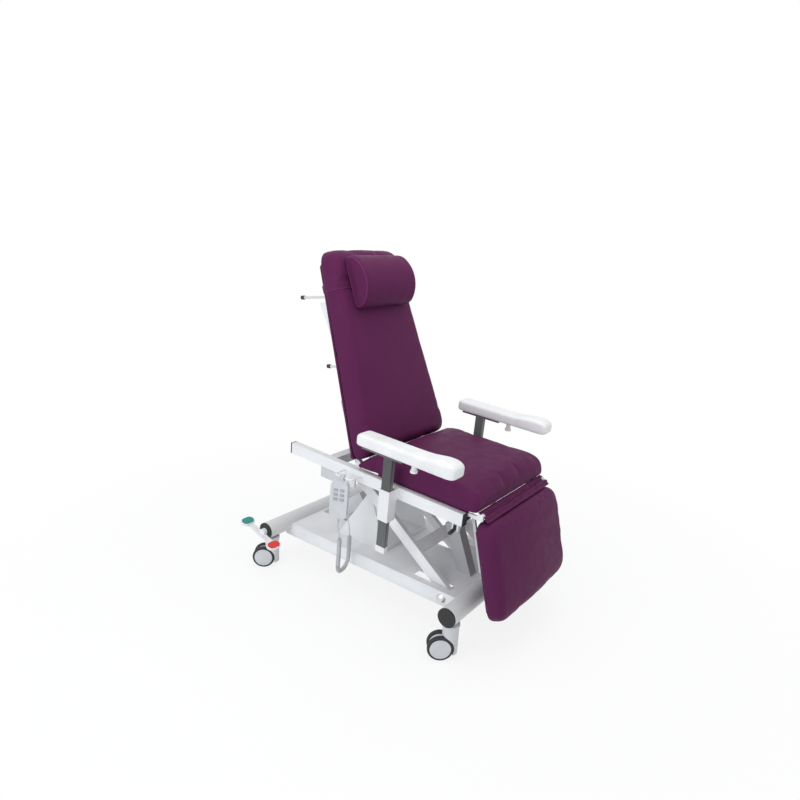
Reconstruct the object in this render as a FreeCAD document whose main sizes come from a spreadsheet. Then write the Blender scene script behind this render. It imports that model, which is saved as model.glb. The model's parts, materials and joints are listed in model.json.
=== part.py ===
import FreeCAD, Part
import math
import os
import re
import Sketcher
from FreeCAD import Placement, Rotation, Vector

# Patient rest chair, millimetres. +Z is up, the sitter faces -Y, near side is -X.

SIZES = {
    # Plan position of the chair's own axes against the origin
    "plan_x": 14.9,
    "plan_y": -18.6765,
    # Base
    "tube_od": 76.0,
    "tube_wall": 3.0,
    "tube_length": 710.0,
    "tube_z": 187.0,
    "front_tube_y": -437.0,
    "rear_tube_y": 556.0,
    "cap_thick": 7.0,
    "cap_plug": 16.0,
    "chassis_width": 473.0,
    "chassis_top": 193.0,
    "chassis_depth": 62.0,
    "sheet": 4.0,
    "slot_front": -350.0,
    "slot_rear": -170.0,
    "slot_gap": 9.0,
    "hole_half": 46.0,
    "hole_front": 318.0,
    "hole_rear": 505.0,
    "running": 0.05,
    "play": 0.3,
    # Lift arms
    "arm_pivot_y": -330.0,
    "arm_pivot_z": 160.0,
    "arm_length": 600.0,
    "arm_angle": 37.0,
    "arm_x": 186.0,
    "arm_thick": 20.0,
    "arm_depth": 50.0,
    "axle_dia": 24.0,
    "dome_dia": 46.0,
    "dome_thick": 12.0,
    "stub_dia": 20.0,
    "brace_at": 215.0,
    "brace_size": 46.0,
    "push_tube_at": 480.0,
    "push_tube_dia": 40.0,
    "ear_thick": 8.0,
    "ear_gap": 24.0,
    "ear_reach": 62.0,
    # Levelling link, parallel to the arms
    "link_shift": 110.0,
    "link_x": 90.0,
    "link_thick": 20.0,
    "link_depth": 36.0,
    "pin_dia": 16.0,
    "lug_thick": 8.0,
    # Lift drive
    "drive_y": 440.0,
    "drive_z": 155.0,
    "drive_tube_dia": 48.0,
    "drive_tube_end": 305.0,
    "drive_bore_start": 62.0,
    "rod_dia": 25.0,
    "rod_start": 112.0,
    "rod_short": 42.0,
    "blade_thick": 16.0,
    "blade_width": 34.0,
    "blade_reach": 55.0,
    "motor_width": 76.0,
    "motor_depth": 66.0,
    "motor_start": 110.0,
    "motor_end": 250.0,
    # Pedestal cheeks and stop post
    "cheek_x": 150.0,
    "cheek_thick": 6.0,
    "cheek_rear": 300.0,
    "cheek_front": 25.0,
    "cheek_peak_y": 136.0,
    "cheek_peak_width": 30.0,
    "cheek_top": 430.0,
    "cheek_wall_top": 280.0,
    "post_x": -45.0,
    "post_y": -326.0,
    "post_lean": 21.6,
    "post_length": 222.0,
    "post_width": 60.0,
    "post_depth": 47.0,
    # Upper frame, before its small forward tilt
    "tilt": 3.0,
    "stub_y": 152.697,
    "stub_z": 513.184,
    "rail_face": 281.0,
    "rail_width": 30.0,
    "rail_height": 48.0,
    "rail_top": 590.0,
    "rail_front": -416.0,
    "rail_rear": 474.0,
    "rail_wall": 2.5,
    "member_size": 40.0,
    "member_drop": 5.0,
    "front_member_y": -320.0,
    "lug_reach": 26.0,
    "hinge_pin_dia": 12.0,
    "bracket_thick": 10.0,
    "board_thick": 10.0,
    # Seat
    "seat_half": 280.0,
    "seat_front": -465.0,
    "seat_rear": 24.0,
    "seat_side_top": 680.0,
    "seat_crown": 690.0,
    "seat_board_inset": 22.0,
    "seat_tail_half": 278.0,
    "seat_tail_reach": 76.0,
    "seat_tail_slope": 58.0,
    "seat_tail_lip": 13.7,
    "seat_tail_gain": 34.0,
    "seat_tail_crest": 20.0,
    "seat_tail_root": 4.0,
    "side_draw": 4.0,
    "side_bow": 9.0,
    "shoulder": 30.0,
    "shoulder_share": 0.6,
    # Armrests
    "sleeve_width": 48.0,
    "sleeve_depth": 50.0,
    "sleeve_wall": 4.0,
    "sleeve_bottom": 459.0,
    "sleeve_top": 588.0,
    "sleeve_y": -99.0,
    "sleeve_web": 11.0,
    "arm_post_thick": 20.0,
    "arm_post_bottom": 328.0,
    "pad_x": 349.0,
    "pad_width": 79.0,
    "pad_bottom": 748.0,
    "pad_thick": 50.0,
    "pad_rear": 22.0,
    "pad_front": -421.0,
    "pad_bulb": 10.0,
    "pad_round": 9.0,
    "pad_plate_thick": 6.0,
    "pad_plate_width": 62.0,
    "pad_plate_length": 190.0,
    "knob_y": -231.0,
    "knob_dia": 20.0,
    "knob_drop": 36.0,
    "knob_stroke": 5.0,
    "knob_sink": 10.0,
    "skirt_dia": 28.0,
    "skirt_height": 10.0,
    # Back
    "back_hinge_y": 116.0,
    "back_hinge_z": 606.0,
    "back_lean": 23.0,
    "back_low": 12.0,
    "back_high": 864.0,
    "back_half_low": 292.0,
    "back_half_high": 216.0,
    "back_bow": 3.0,
    "back_board_inset": 9.0,
    "back_board_corner": 50.0,
    "back_iron_low": 42.0,
    "back_thick": 94.0,
    "back_dome": 11.0,
    "back_crank": 90.0,
    "back_strap": 220.0,
    "crank_foot": 60.0,
    "crank_tip": 17.0,
    "crossbar": 40.0,
    "back_crank_angle": 31.0,
    "back_drive_x": -60.0,
    # Leg rest
    "leg_hinge_y": -470.0,
    "leg_hinge_z": 588.0,
    "leg_lean": 17.0,
    "leg_start": 46.0,
    "leg_end": 406.0,
    "leg_half": 285.0,
    "leg_front": 60.0,
    "leg_pad_start": 20.0,
    "leg_bow": 26.0,
    "leg_board_inset": 37.0,
    "leg_rear": 29.0,
    "leg_crank": 80.0,
    "leg_crank_foot": 70.0,
    "leg_strap": 170.0,
    "leg_bar_low": 90.0,
    "leg_crank_angle": 36.0,
    "leg_drive_x": 20.0,
    # Back and leg drives
    "slim_tube_dia": 36.0,
    "slim_rod_dia": 18.0,
    "slim_blade": 8.0,
    "slim_gap": 13.0,
    "slim_motor": 56.0,
    "slim_motor_length": 120.0,
    "motor_shave": 8.0,
    "hanger_half": 14.0,
    "hanger_reach": 30.0,
    "slim_rod_short": 42.0,
    "slim_blade_root": 12.0,
    "back_rod_drop": 1.07,
    "back_tube_mouth": -8.0,
    "back_motor_y": -250.0,
    "back_rod_start": -150.0,
    "leg_rod_drop": 1.09,
    "leg_tube_mouth": -190.0,
    "leg_motor_y": -160.0,
    "leg_rod_start": 30.0,
    # Pillow and strap
    "pillow_at": 711.0,
    "pillow_half": 160.0,
    "pillow_height": 208.0,
    "pillow_thick": 90.0,
    "strap_width": 32.0,
    "strap_thick": 1.6,
    # Rods and panel behind the back
    "peg_x": 200.0,
    "peg_dia": 12.0,
    "upper_peg_at": 682.0,
    "upper_peg_length": 138.0,
    "lower_peg_at": 388.0,
    "lower_peg_length": 98.0,
    "peg_rise": 13.0,
    "tip_dia": 17.0,
    "tip_length": 15.0,
    "pocket_depth": 34.0,
    "pocket_sheet": 3.0,
    "pocket_half": 218.0,
    "pocket_low": 425.0,
    "pocket_high": 665.0,
    "pocket_foot": 18.0,
    # Handset, hook and box
    "hook_y": 112.0,
    "hook_half": 44.0,
    "hook_reach": 64.0,
    "hook_z": 572.0,
    "hook_dia": 6.0,
    "handset_width": 72.0,
    "handset_height": 158.0,
    "handset_thick": 26.0,
    "handset_turn": 25.0,
    "handset_top_over": -8.0,
    "handset_corner": 8.0,
    "handset_taper": 14.0,
    "tab_half": 9.0,
    "tab_thick": 7.0,
    "tab_top": 10.0,
    "lip_gap": 6.0,
    "lip_thick": 4.0,
    "relief_dia": 11.0,
    "relief_length": 22.0,
    "key_width": 17.0,
    "key_height": 11.0,
    "key_depth": 6.0,
    "key_proud": 2.5,
    "key_pitch_x": 26.0,
    "key_pitch_z": 20.0,
    "key_top_gap": 34.0,
    "box_front": 200.0,
    "box_rear": 322.0,
    "box_bottom": 476.0,
    "box_width": 44.0,
    # Handset cord, a curly lead
    "cord_dia": 4.2,
    "curl_outer": 19.0,
    "curl_pitch": 6.2,
    "curl_top": 322.0,
    "curl_end": 292.0,
    "cord_low": 136.0,
    # Release lever
    "lever_x": -266.0,
    "lever_y": -386.0,
    "lever_z": 519.0,
    "lever_tilt": 7.6,
    "lever_dia": 10.0,
    "lever_inner": 116.0,
    "lever_outer": 42.0,
    "lever_pin_dia": 8.0,
    "lever_hub_dia": 18.0,
    "lever_hub_half": 7.5,
    "lever_ear": 6.0,
    "grip_dia": 15.0,
    "grip_length": 24.0,
    # Casters
    "caster_inset": 33.0,
    "caster_trail": 36.0,
    "near_caster_turn": 38.0,
    "far_caster_turn": 24.0,
    "wheel_dia": 100.0,
    "wheel_width": 20.0,
    "wheel_gap": 18.0,
    "wheel_axle_dia": 12.0,
    "stem_dia": 20.0,
    "stem_top": 170.0,
    "hood_gap": 2.0,
    "collar_dia": 68.0,
    "collar_thick": 9.0,
    "tower_dia": 62.0,
    "tower_low": 26.0,
    "web_dia": 84.0,
    # Brake pedal
    "pedal_tilt": 18.5,
    "pedal_thick": 9.0,
    "pedal_width": 34.0,
    "pedal_reach": 92.0,
    "pedal_arm_depth": 22.0,
    "pedal_pad_length": 58.0,
    "pedal_pad_width": 38.0,
    "pedal_pad_thick": 8.0,
    "brake_shaft_dia": 16.0,
}

doc = FreeCAD.newDocument("RestChair")
sheet = doc.addObject("Spreadsheet::Sheet", "Dims")
for row, (alias, value) in enumerate(SIZES.items(), 1):
    sheet.set("A%d" % row, alias)
    sheet.set("B%d" % row, str(value))
    sheet.setAlias("B%d" % row, alias)
doc.recompute()


class Sizes:
    """Reads the sheet's numbers by name."""

    def __getattr__(self, alias):
        return float(sheet.get(alias))


D = Sizes()
NODES = {}
X_AXIS = Vector(1, 0, 0)
SIDES = (("near", -1), ("far", 1))


# Small helpers that bind shapes to the sheet

def bound(text):
    """Points every size named in an expression at its cell."""
    def cell(word):
        return "Dims." + word.group() if word.group() in SIZES else word.group()

    return re.sub(r"[a-z_]\w*", cell, str(text))


def bind(thing, prop, text):
    thing.setExpression(prop, bound(text))


def bind_base(thing, corner):
    for axis, text in zip("xyz", corner):
        bind(thing, "Placement.Base." + axis, text)


def box(name, x, y, z):
    """A block between two expressions along each axis."""
    thing = doc.addObject("Part::Box", name)
    for prop, (low, high) in zip(("Length", "Width", "Height"), (x, y, z)):
        bind(thing, prop, "(%s) - (%s)" % (high, low))
    bind_base(thing, (x[0], y[0], z[0]))
    return thing


TURNS = {
    "x": Rotation(Vector(0, 1, 0), 90),
    "y": Rotation(Vector(1, 0, 0), -90),
    "z": Rotation(),
}


def rod(name, axis, diameter, start, length):
    """A cylinder from a start point along +X, +Y or +Z."""
    thing = doc.addObject("Part::Cylinder", name)
    thing.Placement = Placement(Vector(), TURNS[axis])
    bind(thing, "Radius", "(%s) / 2" % diameter)
    bind(thing, "Height", length)
    bind_base(thing, start)
    return thing


def plate(name, outline, x_low, thick):
    """A flat plate across X with a straight-sided outline in Y and Z."""
    return padded_outline(name, "YZ_Plane", outline, x_low, thick)


def padded_outline(name, plane, outline, offset, thick):
    body = doc.addObject("PartDesign::Body", name)
    sketch = body.newObject("Sketcher::SketchObject", name + "_outline")
    support = [item for item in body.Origin.OriginFeatures if item.Role == plane][0]
    sketch.AttachmentSupport = (support, [""])
    sketch.MapMode = "FlatFace"
    bind(sketch, "AttachmentOffset.Base.z", offset)
    draw_polygon(sketch, outline)
    pad = body.newObject("PartDesign::Pad", name + "_pad")
    pad.Profile = sketch
    bind(pad, "Length", thick)
    return body


def draw_polygon(sketch, outline):
    """Lines through points whose two coordinates are bound to the sheet."""
    corners = [Vector(number(first), number(second), 0) for first, second in outline]
    count = len(outline)
    for index, corner in enumerate(corners):
        sketch.addGeometry(Part.LineSegment(corner, corners[(index + 1) % count]))
    for index in range(count):
        sketch.addConstraint(Sketcher.Constraint("Coincident", index, 2, (index + 1) % count, 1))
    for index, (first, second) in enumerate(outline):
        for kind, text in (("DistanceX", first), ("DistanceY", second)):
            held = sketch.addConstraint(Sketcher.Constraint(kind, -1, 1, index, 1, number(text)))
            bind(sketch, "Constraints[%d]" % held, text)


def number(text):
    """The present value of an expression over the sheet."""
    value = sheet.evalExpression(bound(text))
    return float(getattr(value, "Value", value))


def turned(name, outline):
    """A solid of revolution about X; the outline is (x, radius) points."""
    body = doc.addObject("PartDesign::Body", name)
    sketch = body.newObject("Sketcher::SketchObject", name + "_outline")
    support = [item for item in body.Origin.OriginFeatures if item.Role == "XY_Plane"][0]
    sketch.AttachmentSupport = (support, [""])
    sketch.MapMode = "FlatFace"
    draw_polygon(sketch, outline)
    spin = body.newObject("PartDesign::Revolution", name + "_turn")
    spin.Profile = sketch
    spin.ReferenceAxis = (sketch, ["H_Axis"])
    spin.Angle = 360
    return body


def fuse(name, things):
    joined = doc.addObject("Part::MultiFuse", name)
    joined.Shapes = things
    joined.Refine = True
    return joined


def cut(name, base, tools):
    tool = tools[0]
    if len(tools) > 1:
        tool = doc.addObject("Part::MultiFuse", name + "_tools")
        tool.Shapes = tools
    result = doc.addObject("Part::Cut", name)
    result.Base = base
    result.Tool = tool
    return result


def group(name, things):
    """Separate solids that share one node."""
    result = doc.addObject("Part::Compound", name)
    result.Links = things
    return result


def formed(name, shape):
    """A free form whose shape is worked out from the sheet's numbers."""
    thing = doc.addObject("Part::Feature", name)
    thing.Shape = shape
    return thing


def node(label, thing, place):
    thing.Label = label
    thing.Placement = place
    NODES[label] = thing


def at(x, y, z, lean=0.0):
    return Placement(Vector(x, y, z), Rotation(X_AXIS, lean))


PLAN = at(D.plan_x, D.plan_y, 0)
ARMS = PLAN * at(0, D.arm_pivot_y, D.arm_pivot_z, D.arm_angle)
LINK = PLAN * at(0, D.arm_pivot_y + D.link_shift, D.arm_pivot_z, D.arm_angle)

# The upper frame hangs on the arms' top pins, so it follows them
ARM_RISE = math.radians(D.arm_angle)
ARM_TOP_Y = D.arm_pivot_y + D.arm_length * math.cos(ARM_RISE)
ARM_TOP_Z = D.arm_pivot_z + D.arm_length * math.sin(ARM_RISE)
FRAME = PLAN * at(0, ARM_TOP_Y, ARM_TOP_Z, D.tilt) * at(0, -D.stub_y, -D.stub_z)
BACK = FRAME * at(0, D.back_hinge_y, D.back_hinge_z, -D.back_lean)
LEG = FRAME * at(0, D.leg_hinge_y, D.leg_hinge_z, -D.leg_lean)

PUSH_Y = D.arm_pivot_y + D.push_tube_at * math.cos(ARM_RISE)
PUSH_Z = D.arm_pivot_z + D.push_tube_at * math.sin(ARM_RISE)
DRIVE_LENGTH = math.hypot(PUSH_Y - D.drive_y, PUSH_Z - D.drive_z)
DRIVE_RISE = math.degrees(math.atan2(PUSH_Z - D.drive_z, PUSH_Y - D.drive_y))
DRIVE = PLAN * at(0, D.drive_y, D.drive_z, DRIVE_RISE)


def in_frame(y, z):
    """A point of the level room, seen from the tilted upper frame."""
    point = FRAME.inverse().multVec(PLAN.multVec(Vector(0, y, z)))
    return point.y, point.z


LINK_TOP_Y, LINK_TOP_Z = in_frame(ARM_TOP_Y + D.link_shift, ARM_TOP_Z)


# Base: tubes, caps and chassis tray

def cross_tube(end):
    y = end + "_tube_y"
    start = ("-tube_length / 2", y, "tube_z")
    wall = rod(end + "_tube_wall", "x", "tube_od", start, "tube_length")
    bore = rod(end + "_tube_bore", "x", "tube_od - 2 * tube_wall", start, "tube_length")
    stems = []
    for side, sign in SIDES:
        x = "%d * (tube_length / 2 - caster_inset)" % sign
        stems.append(rod("%s_%s_stem_hole" % (end, side), "z", "stem_dia + 2 * running",
                         (x, y, "tube_z - tube_od / 2"), "tube_od / 2"))
    node(end + "_cross_tube", cut(end + "_cross_tube", wall, [bore] + stems), PLAN)


def tube_caps():
    caps = []
    for end in ("front", "rear"):
        for side, sign in SIDES:
            name = "%s_%s_cap" % (end, side)
            lip = "%d * tube_length / 2 %s" % (sign, "- cap_thick" if sign < 0 else "")
            plug = "%d * tube_length / 2 %s" % (sign, "- cap_plug" if sign > 0 else "")
            place = (end + "_tube_y", "tube_z")
            solid = fuse(name + "_solid", [
                rod(name + "_lip", "x", "tube_od", (lip,) + place, "cap_thick"),
                rod(name + "_plug", "x", "tube_od - 2 * tube_wall", (plug,) + place, "cap_plug"),
            ])
            if (end, side) == ("rear", "near"):
                solid = cut(name, solid, [rod(name + "_hole", "x", "brake_shaft_dia + 2 * running",
                                              ("-tube_length / 2 - 2 * cap_plug",) + place, "4 * cap_plug")])
            caps.append(solid)
    node("tube_end_caps", group("tube_end_caps", caps), PLAN)


def chassis_tray():
    half = "chassis_width / 2"
    low = "chassis_top - chassis_depth"
    shell = box("tray_outer", ("-" + half, half), ("front_tube_y", "rear_tube_y"), (low, "chassis_top"))
    inside = box("tray_inside", ("-(%s - sheet)" % half, half + " - sheet"),
                 ("front_tube_y - tube_od", "rear_tube_y + tube_od"),
                 (low + " - sheet", "chassis_top - sheet"))
    ends = [rod("tray_%s_saddle" % end, "x", "tube_od", ("-chassis_width", end + "_tube_y", "tube_z"),
                "2 * chassis_width") for end in ("front", "rear")]
    slots = []
    for side, sign in SIDES:
        middle = "%d * arm_x" % sign
        reach = "(arm_thick / 2 + slot_gap)"
        slots.append(box("tray_%s_slot" % side, (middle + " - " + reach, middle + " + " + reach),
                         ("slot_front", "slot_rear"), ("chassis_top - 2 * sheet", "chassis_top + sheet")))
    link_reach = "(link_thick / 2 + slot_gap)"
    slots.append(box("tray_link_slot", ("link_x - " + link_reach, "link_x + " + link_reach),
                     ("slot_front + link_shift", "slot_rear + link_shift"),
                     ("chassis_top - 2 * sheet", "chassis_top + sheet")))
    slots.append(box("tray_drive_hole", ("-hole_half", "hole_half"), ("hole_front", "hole_rear"),
                     ("chassis_top - 2 * sheet", "chassis_top + sheet")))
    axle_hole = rod("tray_axle_hole", "x", "axle_dia", ("-chassis_width", "arm_pivot_y", "arm_pivot_z"),
                    "2 * chassis_width")
    open_tray = cut("tray_open", shell, [inside] + ends + slots + [axle_hole])
    lugs = []
    for side, sign in SIDES:
        x = "link_x + %d * (link_thick / 2 + slot_gap)" % sign
        near_face = x if sign > 0 else x + " - lug_thick"
        lugs.append(box("tray_link_lug_" + side, (near_face, near_face + " + lug_thick"),
                        ("arm_pivot_y + link_shift - pin_dia", "arm_pivot_y + link_shift + pin_dia"),
                        ("arm_pivot_z - pin_dia", "chassis_top - sheet / 2")))
        x = "%d * hole_half" % sign
        near_face = x if sign > 0 else x + " - lug_thick"
        lugs.append(box("tray_drive_lug_" + side, (near_face, near_face + " + lug_thick"),
                        ("drive_y - pin_dia", "hole_rear + sheet"),
                        ("drive_z - pin_dia", "chassis_top - sheet / 2")))
    lugs.append(box("tray_drive_crossbar", ("-hole_half", "hole_half"), ("hole_rear", "hole_rear + sheet"),
                    ("drive_z - pin_dia", "chassis_top - sheet / 2")))
    lugs.append(rod("tray_link_pin", "x", "pin_dia",
                    ("link_x - link_thick / 2 - slot_gap - lug_thick",
                     "arm_pivot_y + link_shift", "arm_pivot_z"),
                    "link_thick + 2 * slot_gap + 2 * lug_thick"))
    lugs.append(rod("tray_drive_pin", "x", "pin_dia", ("-hole_half - lug_thick", "drive_y", "drive_z"),
                    "2 * (hole_half + lug_thick)"))
    node("chassis_tray", fuse("chassis_tray", [open_tray] + lugs), PLAN)


def lower_axle():
    reach = "chassis_width / 2"
    pieces = [rod("axle_bar", "x", "axle_dia", ("-" + reach, "arm_pivot_y", "arm_pivot_z"), "chassis_width")]
    for side, sign in SIDES:
        start = reach if sign > 0 else "-%s - dome_thick" % reach
        head_at = (start, "arm_pivot_y", "arm_pivot_z")
        dome = rod("axle_%s_head" % side, "x", "dome_dia", head_at, "dome_thick")
        ball = doc.addObject("Part::Sphere", "axle_%s_ball" % side)
        bind(ball, "Radius", "dome_dia ^ 2 / (8 * dome_thick) + dome_thick / 2")
        bind_base(ball, ("%d * (%s + dome_thick / 2 - dome_dia ^ 2 / (8 * dome_thick))" % (sign, reach),
                         "arm_pivot_y", "arm_pivot_z"))
        cap = doc.addObject("Part::Common", "axle_%s_dome" % side)
        cap.Base = dome
        cap.Tool = ball
        pieces.append(cap)
    node("lower_axle", fuse("lower_axle", pieces), PLAN)


def pedestal():
    pieces = []
    outline = [("cheek_front", "chassis_top"), ("cheek_rear", "chassis_top"),
               ("cheek_peak_y", "cheek_top"), ("cheek_peak_y - cheek_peak_width", "cheek_top")]
    for side, sign in SIDES:
        x = "%d * cheek_x" % sign if sign > 0 else "-cheek_x - cheek_thick"
        pieces.append(plate(side + "_cheek", outline, x, "cheek_thick"))
    wall = box("cheek_wall", ("-cheek_x", "cheek_x"), ("cheek_front", "cheek_front + cheek_thick"),
               ("chassis_top", "cheek_wall_top"))
    slope = plate("cheek_wall_trim", [("cheek_front - 1", "chassis_top - 1"),
                                      ("cheek_front", "chassis_top"),
                                      ("cheek_peak_y - cheek_peak_width", "cheek_top"),
                                      ("cheek_front - 1", "cheek_top")], "-cheek_x", "2 * cheek_x")
    pieces.append(cut("cheek_wall_cut", wall, [slope]))
    node("pedestal_cheeks", fuse("pedestal_cheeks", pieces), PLAN)


def stop_post():
    column = box("post_column", ("post_x - post_depth / 2", "post_x + post_depth / 2"),
                 ("-post_width / 2", "post_width / 2"), ("-post_width", "post_length"))
    leaning = group("post_leaning", [column])
    leaning.Placement = at(0, D.post_y, D.chassis_top, -D.post_lean)
    below = box("post_below", ("-chassis_width", "chassis_width"), ("-chassis_width * 2", "chassis_width"),
                ("0", "chassis_top"))
    node("front_stop_post", cut("front_stop_post", leaning, [below]), PLAN)


# Lift arms, levelling link and lift drive

def lift_arms():
    pieces = []
    for side, sign in SIDES:
        low = "%d * arm_x - arm_thick / 2" % sign
        high = "%d * arm_x + arm_thick / 2" % sign
        pieces.append(box(side + "_arm_bar", (low, high), ("0", "arm_length"),
                          ("-arm_depth / 2", "arm_depth / 2")))
        for end, y in (("low", "0"), ("top", "arm_length")):
            pieces.append(rod("%s_arm_%s_hub" % (side, end), "x", "arm_depth", (low, y, "0"), "arm_thick"))
        start = "arm_x" if sign > 0 else "-(rail_face - rail_width)"
        pieces.append(rod(side + "_stub", "x", "stub_dia", (start, "arm_length", "0"),
                          "rail_face - rail_width - arm_x"))
    bore = rod("arm_axle_bore", "x", "axle_dia + 2 * running", ("-chassis_width / 2", "0", "0"),
               "chassis_width")
    half_brace = "brace_size / 2"
    pieces.append(box("arm_brace", ("-arm_x", "arm_x"),
                      ("brace_at - " + half_brace, "brace_at + " + half_brace),
                      ("-" + half_brace, half_brace)))
    pieces.append(rod("push_tube", "x", "push_tube_dia", ("-arm_x", "push_tube_at", "0"), "2 * arm_x"))
    toward_drive = math.degrees(math.atan2(D.drive_z - PUSH_Z, D.drive_y - PUSH_Y)) - D.arm_angle
    for side, sign in SIDES:
        x = "%d * ear_gap / 2" % sign if sign > 0 else "-ear_gap / 2 - ear_thick"
        ear = box(side + "_push_ear", (x, x + " + ear_thick"), ("0", "ear_reach"),
                  ("-push_tube_dia / 2", "push_tube_dia / 2"))
        leaning = group(side + "_push_ear_set", [ear])
        leaning.Placement = at(0, D.push_tube_at, 0, toward_drive)
        pieces.append(leaning)
    node("lift_arms", cut("lift_arms", fuse("arms_welded", pieces), [bore]), ARMS)


def level_link():
    low, high = "link_x - link_thick / 2", "link_x + link_thick / 2"
    bar = box("link_bar", (low, high), ("0", "arm_length"), ("-link_depth / 2", "link_depth / 2"))
    hubs = [rod("link_%s_hub" % end, "x", "link_depth", (low, y, "0"), "link_thick")
            for end, y in (("low", "0"), ("top", "arm_length"))]
    bores = [rod("link_%s_bore" % end, "x", "pin_dia + 2 * running", (low, y, "0"), "link_thick")
             for end, y in (("low", "0"), ("top", "arm_length"))]
    node("level_link", cut("level_link", fuse("link_solid", [bar] + hubs), bores), LINK)


def lift_drive():
    side_play = "(hole_half - 2 * play)"
    tail = box("lift_tail", ("-drive_tube_dia / 2", "drive_tube_dia / 2"), ("0", "drive_bore_start"),
               ("-drive_tube_dia / 2", "drive_tube_dia / 2"))
    eye = rod("lift_eye", "x", "drive_tube_dia", ("-%s" % side_play, "0", "0"), "2 * " + side_play)
    tube = rod("lift_tube", "y", "drive_tube_dia", ("0", "0", "0"), "drive_tube_end")
    motor = box("lift_motor_case", ("-motor_width / 2", "motor_width / 2"), ("motor_start", "motor_end"),
                ("-motor_depth", "0"))
    bores = [
        rod("lift_eye_bore", "x", "pin_dia + 2 * running", ("-chassis_width", "0", "0"), "2 * chassis_width"),
        rod("lift_tube_bore", "y", "rod_dia + 2 * running", ("0", "drive_bore_start", "0"), "drive_tube_end"),
    ]
    solid = fuse("lift_motor_solid", [tail, eye, tube, motor])
    node("lift_motor", cut("lift_motor", solid, bores), DRIVE)
    # The rod stops short of the ears and a flat blade runs on between them
    rod_end = "(%.6f - rod_short - blade_reach / 2)" % DRIVE_LENGTH
    blade_end = "(%.6f - push_tube_dia / 2 - rod_short / 2)" % DRIVE_LENGTH
    bar = rod("lift_rod_bar", "y", "rod_dia", ("0", "rod_start", "0"), rod_end + " - rod_start")
    blade = box("lift_rod_blade", ("-blade_thick / 2", "blade_thick / 2"),
                (rod_end + " - rod_dia", blade_end), ("-blade_width / 2", "blade_width / 2"))
    node("lift_rod", fuse("lift_rod", [bar, blade]), DRIVE)


# Upper frame

def side_rail(side, sign):
    outer, inner = "rail_face", "(rail_face - rail_width)"

    def span(near, far):
        return ("%s" % near, "%s" % far) if sign > 0 else ("-%s" % far, "-%s" % near)

    tube = box(side + "_rail_tube", span(inner, outer), ("rail_front", "rail_rear"),
               ("rail_top - rail_height", "rail_top"))
    hollow = box(side + "_rail_hollow",
                 span("(rail_face - rail_width + rail_wall)", "(rail_face - rail_wall)"),
                 ("rail_front", "rail_rear"),
                 ("rail_top - rail_height + rail_wall", "rail_top - rail_wall"))
    pieces = [cut(side + "_rail_open", tube, [hollow])]
    lug = span("(rail_face - rail_width - lug_thick)", inner)
    pieces.append(box(side + "_stub_lug", lug, ("stub_y - lug_reach", "stub_y + lug_reach"),
                      ("stub_z - lug_reach", "rail_top - rail_wall")))
    stub_bore = rod(side + "_stub_bore", "x", "stub_dia + 2 * running",
                    (lug[0], "stub_y", "stub_z"), "lug_thick")
    for name, y, z in (("back", "back_hinge_y", "back_hinge_z"), ("leg", "leg_hinge_y", "leg_hinge_z")):
        near_y = y + " - hinge_pin_dia"
        far_y = y + " + hinge_pin_dia" if name == "back" else "rail_front + 2 * lug_reach"
        low = "rail_top - rail_height / 2" if name == "back" else z + " - hinge_pin_dia"
        top = z if name == "back" else "rail_top - play"
        pieces.append(box("%s_%s_lug" % (side, name), lug, (near_y, far_y), (low, top)))
        pieces.append(rod("%s_%s_boss" % (side, name), "x", "2 * hinge_pin_dia", (lug[0], y, z), "lug_thick"))
        start = "(rail_face - rail_width - lug_thick - play - bracket_thick)"
        pin = span(start, "(rail_face - rail_width - lug_thick / 2)")
        pieces.append(rod("%s_%s_pin" % (side, name), "x", "hinge_pin_dia", (pin[0], y, z),
                          "bracket_thick + play + lug_thick / 2"))
    sleeve_x = span("(rail_face + sleeve_web)", "(rail_face + sleeve_web + sleeve_width)")
    sleeve_y = ("sleeve_y - sleeve_depth / 2", "sleeve_y + sleeve_depth / 2")
    sleeve = box(side + "_sleeve_block", sleeve_x, sleeve_y, ("sleeve_bottom", "sleeve_top"))
    hole = box(side + "_sleeve_hole", span("(rail_face + sleeve_web + sleeve_wall)",
                                           "(rail_face + sleeve_web + sleeve_width - sleeve_wall)"),
               ("sleeve_y - sleeve_depth / 2 + sleeve_wall", "sleeve_y + sleeve_depth / 2 - sleeve_wall"),
               ("sleeve_bottom", "sleeve_top"))
    pieces.append(cut(side + "_sleeve", sleeve, [hole]))
    pieces.append(box(side + "_sleeve_web", span("rail_face", "(rail_face + sleeve_web)"), sleeve_y,
                      ("rail_top - rail_height", "sleeve_top")))
    if side == "near":
        pieces += lever_ears()
    node(side + "_rail", cut(side + "_rail", fuse(side + "_rail_welded", pieces), [stub_bore]), FRAME)


def lever_ears():
    """Two ears under the near rail and the pin that the release lever turns on."""
    gap = "(lever_hub_half + play)"
    ears = []
    for end, low in (("front", "lever_y - %s - lever_ear" % gap), ("rear", "lever_y + " + gap)):
        ears.append(box("lever_%s_ear" % end,
                        ("lever_x - lever_hub_dia / 2", "lever_x + lever_hub_dia / 2"),
                        (low, low + " + lever_ear"),
                        ("lever_z - lever_pin_dia", "rail_top - rail_height + rail_wall")))
    pin = rod("lever_pin", "y", "lever_pin_dia", ("lever_x", "lever_y - %s - lever_ear" % gap, "lever_z"),
              "2 * (%s + lever_ear)" % gap)
    return ears + [pin]


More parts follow.
